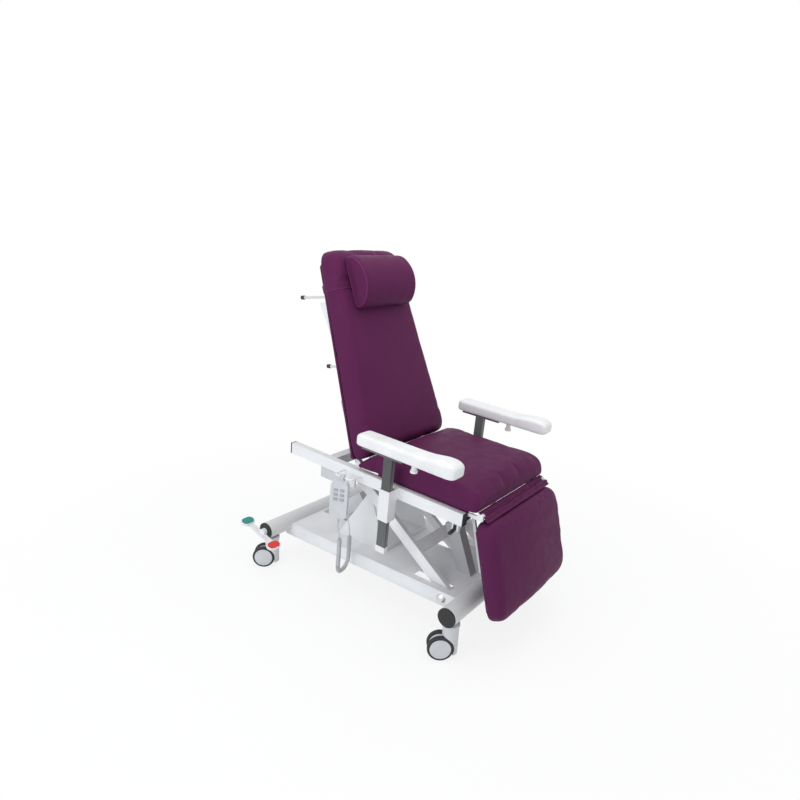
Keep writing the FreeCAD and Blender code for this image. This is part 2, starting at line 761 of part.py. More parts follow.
def rail_caps():
    caps = []
    half = "rail_width / 2"
    inner = "(rail_width / 2 - rail_wall)"
    ends = (
        ("front", ("rail_front - cap_thick / 2", "rail_front"), ("rail_front", "rail_front + cap_plug")),
        ("rear", ("rail_rear", "rail_rear + cap_thick"), ("rail_rear - cap_plug", "rail_rear")),
    )
    for side, sign in SIDES:
        middle = "%d * (rail_face - rail_width / 2)" % sign
        for end, lip, plug in ends:
            name = "%s_%s_rail_cap" % (side, end)
            caps.append(fuse(name, [
                box(name + "_lip", (middle + " - " + half, middle + " + " + half), lip,
                    ("rail_top - rail_height", "rail_top")),
                box(name + "_plug", (middle + " - " + inner, middle + " + " + inner), plug,
                    ("rail_top - rail_height + rail_wall", "rail_top - rail_wall")),
            ]))
    node("rail_end_caps", group("rail_end_caps", caps), FRAME)


def cross_members():
    solids = []
    reach = "(rail_face - rail_width)"
    top = "(rail_top - member_drop)"
    for name, y in (("front", "front_member_y"), ("middle", "%.6f" % LINK_TOP_Y)):
        beam = box(name + "_member", ("-" + reach, reach),
                   ("%s - member_size / 2" % y, "%s + member_size / 2" % y), (top + " - member_size", top))
        if name != "middle":
            solids.append(beam)
            continue
        pieces = [beam]
        for side, sign in SIDES:
            x = "link_x + %d * (link_thick / 2 + slot_gap)" % sign
            near_face = x if sign > 0 else x + " - lug_thick"
            pieces.append(box("link_top_lug_" + side, (near_face, near_face + " + lug_thick"),
                              ("%.6f - pin_dia" % LINK_TOP_Y, "%.6f + pin_dia" % LINK_TOP_Y),
                              ("%.6f - pin_dia" % LINK_TOP_Z, top + " - member_size / 2")))
        pieces.append(rod("link_top_pin", "x", "pin_dia",
                          ("link_x - link_thick / 2 - slot_gap - lug_thick", "%.6f" % LINK_TOP_Y,
                           "%.6f" % LINK_TOP_Z), "link_thick + 2 * slot_gap + 2 * lug_thick"))
        solids.append(fuse("middle_member_welded", pieces))
    node("cross_members", group("cross_members", solids), FRAME)


# Soft forms: a loft through rounded sections

def section_wire(half, low, edge, crown, draw):
    """A cushion's section in its own X and Y: flat base, bowed sides, round shoulders, crowned face."""
    up = 1 if edge > low else -1
    round_over = min(D.shoulder, D.shoulder_share * abs(edge - low))
    bend = round_over * (1 - math.sqrt(0.5))
    foot = Vector(half - draw, low, 0)
    waist = Vector(half, (low + edge - up * round_over) / 2, 0)
    side = Vector(half, edge - up * round_over, 0)
    corner = Vector(half - bend, edge - up * bend, 0)
    face = Vector(half - round_over, edge, 0)

    def other(point):
        return Vector(-point.x, point.y, 0)

    return [
        Part.LineSegment(other(foot), foot).toShape(),
        Part.Arc(foot, waist, side).toShape(),
        Part.Arc(side, corner, face).toShape(),
        Part.Arc(face, Vector(0, crown, 0), other(face)).toShape(),
        Part.Arc(other(face), other(corner), other(side)).toShape(),
        Part.Arc(other(side), other(waist), other(foot)).toShape(),
    ]


def cushion(stations):
    """Lofts sections given as (place along Z, half width, base, edge, crown, side bow)."""
    wires = []
    for along, half, low, edge, crown, draw in stations:
        wire = Part.Wire(section_wire(half, low, edge, crown, draw))
        wire.translate(Vector(0, 0, along))
        wires.append(wire)
    return Part.makeLoft(wires, True, True)


def drawn_in(share, depth):
    """Sides pull in most half way between the corners."""
    return depth * math.sin(math.pi * share) ** 2


# Each profile gives, along the cushion, the crown's fall and the half width's loss
BACK_PROFILE = (
    (0, 34, 24), (0.008, 21, 14), (0.022, 11, 7), (0.05, 4, 2), (0.1, 1, 0), (0.25, 0, 0), (0.5, 0, 0),
    (0.75, 0, 0), (0.9, 1, 0), (0.95, 4, 2), (0.965, 7, 6), (0.978, 11, 14), (0.986, 16, 21), (0.992, 21, 29),
    (0.997, 28, 40), (1, 34, 54),
)
LEG_PROFILE = (
    (0, 30, 58), (0.008, 23, 42), (0.018, 17, 32), (0.05, 8, 16), (0.11, 1, 3), (0.22, -3, 0), (0.5, -5, 0),
    (0.78, -3, 0), (0.9, 2, 4), (0.95, 8, 16), (0.982, 14, 32), (0.992, 18, 42), (1, 22, 58),
)
SEAT_PROFILE = (
    (0, 50, 22), (0.012, 32, 13), (0.035, 17, 6), (0.08, 6, 2), (0.16, 1, 0), (0.35, 0, 0),
    (0.65, 0, 0), (0.88, 2, 0), (0.96, 8, 3), (1, 20, 10),
)
# Along the pillow's half length, how much of its full section is left
PILLOW_PROFILE = (
    (-1, 0.9), (-0.988, 0.955), (-0.965, 0.985), (-0.93, 1), (0.93, 1), (0.965, 0.985), (0.988, 0.955),
    (1, 0.9),
)


def back_cushion():
    base = -D.board_thick - D.play
    stations = []
    for share, fall, shrink in BACK_PROFILE:
        along = D.back_low + share * (D.back_high - D.back_low)
        half = back_half_at(along) - shrink - drawn_in(share, D.side_draw)
        crown = -D.back_thick + fall
        stations.append((along, half, base, crown + D.back_dome, crown, D.back_bow))
    node("back_cushion", formed("back_cushion", cushion(stations)), BACK)


def leg_cushion():
    base = D.leg_rear - D.board_thick - D.play
    stations = []
    for share, fall, shrink in LEG_PROFILE:
        along = -D.leg_end + share * (D.leg_end - D.leg_pad_start)
        half = D.leg_half - shrink - drawn_in(share, D.side_draw)
        crown = -D.leg_front + fall
        stations.append((along, half, base, crown + D.back_dome, crown, D.leg_bow))
    node("leg_cushion", formed("leg_cushion", cushion(stations)), LEG)


def seat_cushion():
    base = D.rail_top + D.board_thick + D.play
    dome = D.seat_crown - D.seat_side_top
    stations = []
    for share, fall, shrink in SEAT_PROFILE:
        along = (1 - share) * (D.seat_rear - D.seat_front)
        half = D.seat_half - shrink - drawn_in(share, D.side_draw)
        crown = D.seat_crown - fall
        stations.append((along, half, base, crown - dome, crown, D.side_bow))
    # The loft runs from the back to the front once it is laid down
    laid = at(0, D.seat_rear, 0, 90)
    pad = cushion(stations)
    pad.Placement = laid
    node("seat_cushion", formed("seat_cushion", pad.fuse(seat_tail(base)).removeSplitter()), FRAME)


def seat_tail(base):
    """A wedge behind the seat that runs in under the back."""
    root, rear = D.seat_rear - D.seat_tail_root, D.seat_rear + D.seat_tail_reach
    lip = base + D.seat_tail_lip
    bend = lip + D.seat_tail_gain
    crest = bend + D.seat_tail_crest
    corners = [(root, base), (rear, base), (rear, lip), (rear - D.seat_tail_slope, bend),
               (D.seat_rear, crest), (root, crest)]
    points = [Vector(-D.seat_tail_half, y, z) for y, z in corners]
    side = Part.Face(Part.makePolygon(points + points[:1]))
    return side.extrude(Vector(2 * D.seat_tail_half, 0, 0))


def head_pillow():
    """A D-section bolster with drawn-in ends."""
    flat = -D.back_thick - D.strap_thick - 2 * D.play
    shoulder, cheek, brow = 0.62, 0.33, 0.86
    wires = []
    for share, scale in PILLOW_PROFILE:
        tall = D.pillow_height * scale / 2
        deep = D.pillow_thick * scale
        x = share * D.pillow_half
        low = Vector(x, flat, D.pillow_at - tall)
        high = Vector(x, flat, D.pillow_at + tall)
        nose = flat - deep
        lower = Vector(x, flat - deep * shoulder, D.pillow_at - tall * brow)
        upper = Vector(x, flat - deep * shoulder, D.pillow_at + tall * brow)
        edges = [
            Part.LineSegment(low, high).toShape(),
            Part.Arc(high, Vector(x, flat - deep * cheek, D.pillow_at + tall + 1), upper).toShape(),
            Part.Arc(upper, Vector(x, nose, D.pillow_at), lower).toShape(),
            Part.Arc(lower, Vector(x, flat - deep * cheek, D.pillow_at - tall - 1), low).toShape(),
        ]
        wires.append(Part.Wire(edges))
    node("head_pillow", formed("head_pillow", Part.makeLoft(wires, True, True)), BACK)


def back_half_at(along):
    share = (along - D.back_low) / (D.back_high - D.back_low)
    return D.back_half_low + share * (D.back_half_high - D.back_half_low)


def pillow_strap():
    low, high = D.pillow_at - D.strap_width / 2, D.pillow_at + D.strap_width / 2
    rings = []
    for grow in (0, D.strap_thick):
        wires = []
        for along in (low, high):
            half = back_half_at(along) + D.play + grow
            front, rear = -D.back_thick - D.play - grow, D.play + grow
            corners = [Vector(-half, front, along), Vector(half, front, along),
                       Vector(half, rear, along), Vector(-half, rear, along), Vector(-half, front, along)]
            wires.append(Part.makePolygon(corners))
        rings.append(Part.makeLoft(wires, True, True))
    node("pillow_strap", formed("pillow_strap", rings[1].cut(rings[0])), BACK)


# Boards and brackets

def seat_board():
    board = box("seat_board_panel", ("-seat_half + seat_board_inset", "seat_half - seat_board_inset"),
                ("seat_front + seat_board_inset + lug_reach", "seat_rear - seat_board_inset"),
                ("rail_top", "rail_top + board_thick"))
    node("seat_board", group("seat_board", [board]), FRAME)


def back_board():
    low, high = "back_low + back_board_inset", "back_high - back_board_inset"
    wide, narrow = "back_half_low - back_board_inset", "back_half_high - back_board_inset"
    shoulder = "back_high - back_board_inset - back_board_corner"
    outline = [("-(%s - back_board_inset)" % wide, low), (wide + " - back_board_inset", low),
               (wide, low + " + back_board_inset"), (narrow, shoulder),
               (narrow + " - back_board_corner", high), ("-(%s - back_board_corner)" % narrow, high),
               ("-(%s)" % narrow, shoulder),
               ("-(%s)" % wide, low + " + back_board_inset")]
    body = padded_outline("back_board", "XZ_Plane", outline, "0", "board_thick")
    node("back_board", body, BACK)


def back_brackets():
    pieces = []
    inner = "(rail_face - rail_width - lug_thick - play - bracket_thick)"
    for side, sign in SIDES:
        x = inner if sign > 0 else "-%s - bracket_thick" % inner
        strap = box(side + "_back_strap", (x, x + " + bracket_thick"), ("0", "2 * hinge_pin_dia"),
                    ("0", "back_iron_low + back_strap"))
        eye = rod(side + "_back_eye", "x", "2 * hinge_pin_dia", (x, "0", "0"), "bracket_thick")
        bore = rod(side + "_back_bore", "x", "hinge_pin_dia + 2 * running", (x, "0", "0"), "bracket_thick")
        pieces.append(cut(side + "_back_bracket", fuse(side + "_back_iron", [strap, eye]), [bore]))
    bar = box("back_crossbar", ("-" + inner, inner), ("0", "bracket_thick"),
              ("back_iron_low + seat_board_inset", "back_iron_low + seat_board_inset + crossbar"))
    pieces.append(bar)
    swing = math.radians(D.back_lean + D.back_crank_angle)
    tip_y, tip_z = D.back_crank * math.sin(swing), -D.back_crank * math.cos(swing)
    pieces += crank_plates("back", "back_drive_x", tip_y, tip_z, ("0", "back_iron_low + seat_board_inset"),
                           ("0", "back_iron_low + seat_board_inset + crank_foot"))
    node("back_brackets", fuse("back_brackets", pieces), BACK)


def crank_plates(name, middle, tip_y, tip_z, low, high):
    """A pair of ears from a board to the drive's far end."""
    ears = []
    front, rear = "%.6f - crank_tip" % tip_y, "%.6f + crank_tip" % tip_y
    under, over = "%.6f - crank_tip" % tip_z, "%.6f + crank_tip" % tip_z
    outline = [low, (front, under), (rear, under), (rear, over), high]
    for side, sign in SIDES:
        x = "%s + %d * slim_gap / 2" % (middle, sign)
        near_face = x if sign > 0 else x + " - lug_thick"
        ears.append(plate("%s_%s_crank" % (name, side), outline, near_face, "lug_thick"))
    return ears


def leg_board():
    inset = "leg_board_inset"
    panel = box("leg_board_panel", ("-leg_half + " + inset, "leg_half - " + inset),
                ("leg_rear - board_thick", "leg_rear"), ("-leg_end + " + inset, "-leg_pad_start - " + inset))
    node("leg_board", group("leg_board", [panel]), LEG)


def leg_brackets():
    pieces = []
    inner = "(rail_face - rail_width - lug_thick - play - bracket_thick)"
    for side, sign in SIDES:
        x = inner if sign > 0 else "-%s - bracket_thick" % inner
        strap = box(side + "_leg_strap", (x, x + " + bracket_thick"),
                    ("leg_rear", "leg_rear + hinge_pin_dia"), ("-leg_start - leg_strap", "0"))
        neck = box(side + "_leg_neck", (x, x + " + bracket_thick"), ("0", "leg_rear + hinge_pin_dia"),
                   ("-hinge_pin_dia", "0"))
        eye = rod(side + "_leg_eye", "x", "2 * hinge_pin_dia", (x, "0", "0"), "bracket_thick")
        bore = rod(side + "_leg_bore", "x", "hinge_pin_dia + 2 * running", (x, "0", "0"), "bracket_thick")
        pieces.append(cut(side + "_leg_bracket", fuse(side + "_leg_iron", [strap, neck, eye]), [bore]))
    pieces.append(box("leg_crossbar", ("-" + inner, inner), ("leg_rear", "leg_rear + bracket_thick"),
                      ("-leg_start - leg_bar_low", "-leg_start - leg_bar_low + crossbar")))
    swing = math.radians(D.leg_lean + D.leg_crank_angle)
    tip_y, tip_z = D.leg_crank * math.sin(swing), -D.leg_crank * math.cos(swing)
    pieces += crank_plates("leg", "leg_drive_x", tip_y, tip_z, ("leg_rear", "-leg_start - leg_bar_low"),
                           ("leg_rear", "-leg_start - leg_bar_low + leg_crank_foot"))
    node("leg_brackets", fuse("leg_brackets", pieces), LEG)


def slim_drive(name, low, high, axis_z, tail, motor_y, motor_spans):
    """A motor tube hung under a member of the frame, along Y; its bore is open at one end."""
    middle = name + "_drive_x"
    tube = rod(name + "_tube", "y", "slim_tube_dia", (middle, low, axis_z), "(%s) - (%s)" % (high, low))
    case = box(name + "_case", motor_spans[0], (motor_y, "%s + slim_motor_length" % motor_y), motor_spans[1])
    hanger = box(name + "_hanger", (middle + " - hanger_half", middle + " + hanger_half"),
                 ("(%s) - hanger_reach" % tail, "(%s) + hanger_reach" % tail),
                 (axis_z + " - slim_tube_dia / 2", "rail_top - member_drop - member_size"))
    stop = low if tail == high else "(%s) + cap_plug" % low
    bore = rod(name + "_bore", "y", "slim_rod_dia + 2 * running", (middle, stop, axis_z),
               "(%s) - (%s) - cap_plug" % (high, low))
    solid = fuse(name + "_motor_solid", [tube, case, hanger])
    node(name + "_motor", cut(name + "_motor", solid, [bore]), FRAME)


def back_drive():
    swing = math.radians(D.back_crank_angle)
    tip_y = D.back_hinge_y + D.back_crank * math.sin(swing)
    z = "%.6f" % (D.back_hinge_z - D.back_crank * math.cos(swing) * D.back_rod_drop)
    tail = "front_member_y + member_size / 2"
    beside = (("back_drive_x - slim_motor", "back_drive_x"),
              (z + " - slim_motor / 2", z + " + slim_motor / 2 - motor_shave"))
    slim_drive("back", tail, "back_tube_mouth", z, tail, "back_motor_y", beside)
    rod_drive("back", tip_y, z, D.back_rod_start, 1)


def leg_drive():
    swing = math.radians(D.leg_crank_angle)
    tip_y = D.leg_hinge_y + D.leg_crank * math.sin(swing)
    z = "%.6f" % (D.leg_hinge_z - D.leg_crank * math.cos(swing) * D.leg_rod_drop)
    tail = "%.6f - member_size / 2" % LINK_TOP_Y
    below = (("leg_drive_x - slim_motor / 2", "leg_drive_x + slim_motor / 2"), (z + " - slim_motor", z))
    slim_drive("leg", "leg_tube_mouth", tail, z, tail, "leg_motor_y", below)
    rod_drive("leg", tip_y, z, D.leg_rod_start, -1)


def rod_drive(name, tip_y, axis_z, start_y, sign):
    """The rod stops short of the ears; a thin blade runs on between them."""
    middle = name + "_drive_x"
    rod_tip = tip_y - sign * D.slim_rod_short
    bar_low, bar_high = sorted((start_y, rod_tip))
    bar = rod(name + "_rod_bar", "y", "slim_rod_dia", (middle, "%.6f" % bar_low, axis_z),
              "%.6f" % (bar_high - bar_low))
    blade_low, blade_high = sorted((rod_tip - sign * D.slim_blade_root, tip_y + sign * D.slim_blade))
    blade = box(name + "_rod_blade", (middle + " - slim_blade / 2", middle + " + slim_blade / 2"),
                ("%.6f" % blade_low, "%.6f" % blade_high),
                (axis_z + " - slim_rod_dia / 2", axis_z + " + slim_rod_dia / 2"))
    node(name + "_rod", fuse(name + "_rod", [bar, blade]), FRAME)


# Armrests

def armrest(side, sign):
    centre = "%d * pad_x" % sign
    half = "pad_width / 2"
    top = "pad_bottom + pad_thick"
    outline = [("pad_rear", "pad_bottom"), ("pad_rear", top + " - 3"), ("pad_front + 116", top),
               ("pad_front + 74", top + " + pad_bulb"), ("pad_front + 38", top + " + pad_bulb"),
               ("pad_front + 6", top + " - 8"), ("pad_front", "pad_bottom + pad_thick / 2"),
               ("pad_front + 18", "pad_bottom")]
    body = padded_outline(side + "_pad_body", "YZ_Plane", outline, "%s - %s" % (centre, half), "pad_width")
    doc.recompute()
    solid = body.Tip
    round_over = body.newObject("PartDesign::Fillet", side + "_pad_round")
    keep = []
    for index, edge in enumerate(solid.Shape.Edges, 1):
        if edge.BoundBox.ZMax > D.pad_bottom + D.play:
            keep.append("Edge%d" % index)
    round_over.Base = (solid, keep)
    bind(round_over, "Radius", "pad_round")
    pocket = rod(side + "_knob_pocket", "z", "knob_dia + 2 * play",
                 (centre, "knob_y", "pad_bottom - pad_thick"), "pad_thick + knob_sink + 2 * knob_stroke")
    node(side + "_armrest_pad", cut(side + "_armrest_pad", body, [pocket]), FRAME)
    knob = rod(side + "_knob_pin", "z", "knob_dia", (centre, "knob_y", "pad_bottom - knob_drop"),
               "knob_drop + knob_sink")
    flange = rod(side + "_knob_skirt", "z", "skirt_dia", (centre, "knob_y", "pad_bottom - knob_drop"),
                 "skirt_height")
    node(side + "_armrest_knob", fuse(side + "_armrest_knob", [knob, flange]), FRAME)
    outer = "(rail_face + sleeve_web + sleeve_width - sleeve_wall - play)"
    x = (outer + " - arm_post_thick", outer) if sign > 0 else ("-" + outer, "-%s + arm_post_thick" % outer)
    reach = "(sleeve_depth / 2 - sleeve_wall - play)"
    post = box(side + "_post_bar", x, ("sleeve_y - " + reach, "sleeve_y + " + reach),
               ("arm_post_bottom", "pad_bottom"))
    flat = box(side + "_post_plate", (centre + " - pad_plate_width / 2", centre + " + pad_plate_width / 2"),
               ("sleeve_y - pad_plate_length / 2", "sleeve_y + pad_plate_length / 2"),
               ("pad_bottom - pad_plate_thick", "pad_bottom"))
    node(side + "_armrest_post", fuse(side + "_armrest_post", [post, flat]), FRAME)


# Pegs and document pocket behind the back

def back_holder():
    pegs, tips = [], []
    for side, sign in SIDES:
        for level in ("upper", "lower"):
            name = "%s_%s" % (side, level)
            x = "%d * peg_x" % sign if level == "upper" else "%d * (peg_x - tip_dia)" % sign
            base = (x, "0", level + "_peg_at")
            length = level + "_peg_length"
            bar = raised_rod(name + "_bar", "peg_dia", base, "-peg_dia / 2", length + " + peg_dia / 2")
            inside = box(name + "_inside", (x + " - peg_dia", x + " + peg_dia"), ("-2 * peg_dia", "0"),
                         (base[2] + " - 2 * peg_dia", base[2] + " + 2 * peg_dia"))
            pegs.append(cut(name + "_peg", bar, [inside]))
            tips.append(raised_rod(name + "_tip", "tip_dia", base, length, "tip_length"))
    node("holder_pegs", group("holder_pegs", pegs), BACK)
    node("peg_tips", group("peg_tips", tips), BACK)
    outer = "pocket_depth + pocket_sheet"
    sheet_outline = [("0", "pocket_low - pocket_foot"), ("pocket_sheet", "pocket_low - pocket_foot"),
                     ("pocket_sheet", "pocket_low"), (outer, "pocket_high"), ("pocket_depth", "pocket_high"),
                     ("0", "pocket_low")]
    pieces = [plate("pocket_front", sheet_outline, "-pocket_half", "2 * pocket_half")]
    cheek = [("0", "pocket_low"), ("pocket_depth", "pocket_high"), ("0", "pocket_high")]
    for side, sign in SIDES:
        x = "pocket_half - pocket_sheet" if sign > 0 else "-pocket_half"
        pieces.append(plate(side + "_pocket_cheek", cheek, x, "pocket_sheet"))
    node("holder_panel", fuse("holder_panel", pieces), BACK)


def raised_rod(name, diameter, base, start, length):
    """A cylinder that leaves the back's rear face at an upward slant, from a start along its own axis."""
    thing = doc.addObject("Part::Cylinder", name)
    thing.Placement = Placement(Vector(), Rotation(X_AXIS, D.peg_rise - 90))
    bind(thing, "Radius", "(%s) / 2" % diameter)
    bind(thing, "Height", length)
    out = "%s + (%s) * cos(peg_rise * 1deg)" % (base[1], start)
    up = "%s + (%s) * sin(peg_rise * 1deg)" % (base[2], start)
    bind_base(thing, (base[0], out, up))
    return thing


# Handset, hook and control box

def bent_wire(points, bend, diameter):
    """A round wire along straight runs joined by tangent arcs of one radius."""
    edges = []
    start = points[0]
    for before, corner, after in zip(points, points[1:], points[2:]):
        first = (before - corner).normalize()
        second = (after - corner).normalize()
        half_turn = (math.pi - first.getAngle(second)) / 2
        setback = bend * math.tan(half_turn)
        enter = corner + first * setback
        leave = corner + second * setback
        inward = (first + second).normalize()
        middle = corner + inward * (bend / math.cos(half_turn) - bend)
        edges.append(Part.LineSegment(start, enter).toShape())
        edges.append(Part.Arc(enter, middle, leave).toShape())
        start = leave
    edges.append(Part.LineSegment(start, points[-1]).toShape())
    path = Part.Wire(edges)
    return swept(path, points[0], points[1] - points[0], diameter)


def swept(path, start, heading, diameter):
    profile = Part.Wire(Part.makeCircle(diameter / 2, start, heading))
    return path.makePipeShell([profile], True, False)


def handset_hook():
    face, reach = -D.rail_face, -D.rail_face - D.hook_reach
    low, high = D.hook_y - D.hook_half, D.hook_y + D.hook_half
    points = [Vector(face, low, D.hook_z), Vector(reach, low, D.hook_z), Vector(reach, high, D.hook_z),
              Vector(face, high, D.hook_z)]
    node("handset_hook", formed("handset_hook", bent_wire(points, 3 * D.hook_dia, D.hook_dia)), FRAME)


def handset_place():
    centre = Vector(-D.rail_face - D.hook_reach, D.hook_y, D.hook_z)
    return FRAME * Placement(centre, Rotation(Vector(0, 0, 1), D.handset_turn))


def handset():
    """Hangs by a hooked tab; its keys face -X before the turn."""
    back = "(-hook_dia / 2 - lip_gap)"
    front = "(%s - handset_thick)" % back
    top = "handset_top_over"
    bottom = "(handset_top_over - handset_height)"
    half = "handset_width / 2"
    shoulder = half + " - handset_corner"
    outline = [("-(%s)" % shoulder, bottom), (shoulder, bottom), (half, bottom + " + handset_taper"),
               (half, top + " - handset_taper"), (shoulder, top), ("-(%s)" % shoulder, top),
               ("-(%s)" % half, top + " - handset_taper"), ("-(%s)" % half, bottom + " + handset_taper")]
    body = padded_outline("handset_body", "YZ_Plane", outline, front, "handset_thick")
    width = ("-tab_half", "tab_half")
    lip_in = "hook_dia / 2 + lip_gap"
    riser = box("handset_riser", (back + " - tab_thick", back), width, (top + " - tab_thick", "tab_top"))
    tab = box("handset_tab", (back + " - tab_thick", lip_in + " + lip_thick"), width,
              ("hook_dia / 2 + play", "tab_top"))
    lip = box("handset_lip", (lip_in, lip_in + " + lip_thick"), width, ("-hook_dia", "tab_top"))
    relief = rod("handset_relief", "z", "relief_dia",
                 ("%s + handset_thick / 2" % front, "0", bottom + " - relief_length"), "relief_length + play")
    pockets = []
    place = handset_place()
    for row, level in enumerate(("top", "middle", "bottom")):
        for column, side in enumerate(("left", "right")):
            name = "key_%s_%s" % (level, side)
            y = "%.1f * key_pitch_x" % (column - 0.5)
            z = "%s - key_top_gap - %d * key_pitch_z" % (top, row)
            spans = []
            pocket = []
            for centre, size in ((y, "key_width"), (z, "key_height")):
                spans.append(("%s - %s / 2" % (centre, size), "%s + %s / 2" % (centre, size)))
                pocket.append(("%s - %s / 2 - play" % (centre, size), "%s + %s / 2 + play" % (centre, size)))
            key = box(name + "_cap", (front + " - key_proud", front + " + key_depth - key_proud"), *spans)
            node(name, group(name, [key]), place)
            pockets.append(box(name + "_pocket", (front + " - key_proud", front + " + key_depth"), *pocket))
    shell = fuse("handset_joined", [body, riser, tab, lip, relief])
    node("handset_shell", cut("handset_shell", shell, pockets), place)


def control_box():
    face = "-(rail_face - rail_width)"
    case = box("control_case", (face, face + " + box_width"), ("box_front", "box_rear"),
               ("box_bottom", "rail_top - member_drop - member_size"))
    node("control_box", group("control_box", [case]), FRAME)


# Curly handset cord: a route of straight runs and arcs, with curls wound about its middle

CORD_ROUTE_NEAR = (-353, 98)
CORD_ROUTE_FAR = (-264, 121)


def cord_route():
    """Points of the route, from the handset down, round a hanging loop and up to the box."""
    place = FRAME.inverse() * handset_place()
    start = place.multVec(Vector(-D.hook_dia / 2 - D.lip_gap - D.handset_thick / 2, 0,
                                 D.handset_top_over - D.handset_height - D.relief_length))
    near_x, near_y = CORD_ROUTE_NEAR
    far_x, far_y = CORD_ROUTE_FAR
    loop = Vector(far_x - near_x, far_y - near_y, 0)
    low = D.cord_low
    rise = loop.Length / 2
    near_low = Vector(near_x, near_y, low)
    far_low = near_low + loop
    gland = Vector(-(D.rail_face - D.rail_width) + D.box_width / 2, D.box_front + 26, D.box_bottom)
    return [
        start,
        start + Vector(0, 0, -24),
        Vector(near_x, near_y, start.z - 62),
        Vector(near_x + 0.4, near_y, low + 1.9 * rise),
        near_low,
        far_low,
        Vector(far_x - 0.4, far_y, low + 1.9 * rise),
        Vector(far_x + 2, far_y + 4, D.curl_end + 12),
        Vector(gland.x - 6, far_y + 58, D.curl_end + 78),
        Vector(gland.x, gland.y, gland.z - 52),
        gland,
    ]


def route_pieces(points):
    """Straight runs and tangent arcs, each as (length, place at a distance)."""
    pieces = []
    start = points[0]
    for before, corner, after in zip(points, points[1:], points[2:]):
        first = (before - corner).normalize()
        second = (after - corner).normalize()
        half_turn = (math.pi - first.getAngle(second)) / 2
        run = min((before - corner).Length, (after - corner).Length)
        radius = 0.45 * run / math.tan(half_turn)
        if abs(half_turn - math.pi / 4) < math.radians(8):
            radius = 0.5 * run / math.tan(half_turn) * 0.98
        setback = radius * math.tan(half_turn)
        enter, leave = corner + first * setback, corner + second * setback
        pieces.append(straight(start, enter))
        pieces.append(bend(enter, first * -1, leave, radius, 2 * half_turn))
        start = leave
    pieces.append(straight(start, points[-1]))
    return pieces


def straight(start, end):
    heading = (end - start).normalize()
    return (end - start).Length, lambda s: (start + heading * s, heading)


def bend(start, heading, end, radius, turn):
    across = end - start
    inward = (across - heading * across.dot(heading)).normalize()
    centre = start + inward * radius

    def place(s):
        angle = s / radius
        point = centre - inward * (radius * math.cos(angle)) + heading * (radius * math.sin(angle))
        return point, heading * math.cos(angle) + inward * math.sin(angle)

    return radius * turn, place


def along_route(pieces, s):
    for length, place in pieces[:-1]:
        if s <= length:
            return place(s)
        s -= length
    return pieces[-1][1](s)


def curl_points(pieces, step):
    """Points and headings of the cord; the curls carry a frame that never twists."""
    total = sum(length for length, place in pieces)
    reach = (D.curl_outer - D.cord_dia) / 2
    tops = [0.25 * index for index in range(int(total * 4))]
    first = next(s for s in tops if along_route(pieces, s)[0].z <= D.curl_top)
    last = next(s for s in reversed(tops) if along_route(pieces, s)[0].z <= D.curl_end)
    turns = math.floor((last - first) / D.curl_pitch)
    fade = 2 * D.curl_pitch

    side = {}
    previous = along_route(pieces, 0)[1]
    normal = Vector(1, 0, 0)
    for s in tops:
        heading = along_route(pieces, s)[1]
        normal = Rotation(previous, heading).multVec(normal)
        normal = (normal - heading * normal.dot(heading)).normalize()
        side[round(s * 4)] = (normal, heading)
        previous = heading

    def spot(s):
        middle, heading = along_route(pieces, s)
        normal = side[min(max(round(s * 4), 0), len(tops) - 1)][0]
        other = heading.cross(normal)
        swell = min(max((s - first) / fade, 0), max((first + turns * D.curl_pitch - s) / fade, 0), 1)
        swell = swell * swell * (3 - 2 * swell)
        angle = 2 * math.pi * (s - first) / D.curl_pitch
        return middle + (normal * math.cos(angle) + other * math.sin(angle)) * (reach * swell)

    lead = 2 * D.cord_dia
    stops = [0, lead]
    s = lead + 8
    while s < first - 4:
        stops.append(s)
        s += 8
    stops += [first + i * D.curl_pitch * step for i in range(int(turns / step) + 1)]
    s = stops[-1] + 8
    while s < total - lead - 4:
        stops.append(s)
        s += 8
    stops += [total - lead, total]
    small = 0.05
    result = []
    for s in stops:
        before, after = spot(max(s - small, 0)), spot(min(s + small, total))
        result.append((spot(s), (after - before).normalize()))
    return result, turns


def tangent_arc(start, heading, end):
    """The arc, or line, that leaves a point along a heading and ends at another."""
    chord = end - start
    across = chord.normalize() if chord.Length else chord
    chord = end - start
    sideways = heading - across * heading.dot(across)
    if sideways.Length < 1e-4:
        return Part.LineSegment(start, end).toShape()
    angle = heading.getAngle(across)
    middle = start + chord * 0.5 + sideways.normalize() * (chord.Length / 2 * math.tan(angle / 2))
    return Part.Arc(start, middle, end).toShape()


def biarc(start, heading, end, leaving):
    """Two tangent arcs between two points with given headings."""
    gap = end - start
    both = heading + leaving
    share = 2 * (1 - heading.dot(leaving))
    pull = gap.dot(both)
    if share < 1e-6:
        reach = gap.dot(gap) / (2 * pull)
    else:
        reach = (-pull + math.sqrt(pull * pull + share * gap.dot(gap))) / share
    before, after = start + heading * reach, end - leaving * reach
    middle = (before + after) * 0.5
    return [tangent_arc(start, heading, middle), tangent_arc(middle, (after - before).normalize(), end)]


def handset_cord():
    pieces = route_pieces(cord_route())
    stops, turns = curl_points(pieces, 0.5)
    edges = []
    for (start, heading), (end, leaving) in zip(stops, stops[1:]):
        edges += biarc(start, heading, end, leaving)
    path = Part.Wire(edges)
    shape = swept(path, stops[0][0], stops[0][1], D.cord_dia)
    node("handset_cord", formed("handset_cord", shape), FRAME)
    ideal = path.Length * math.pi * D.cord_dia ** 2 / 4
    print("cord length %.0f, curls %d, volume share %.4f, least gap %.2f" % (
        path.Length, turns, shape.Volume / ideal, least_gap(path) - D.cord_dia))


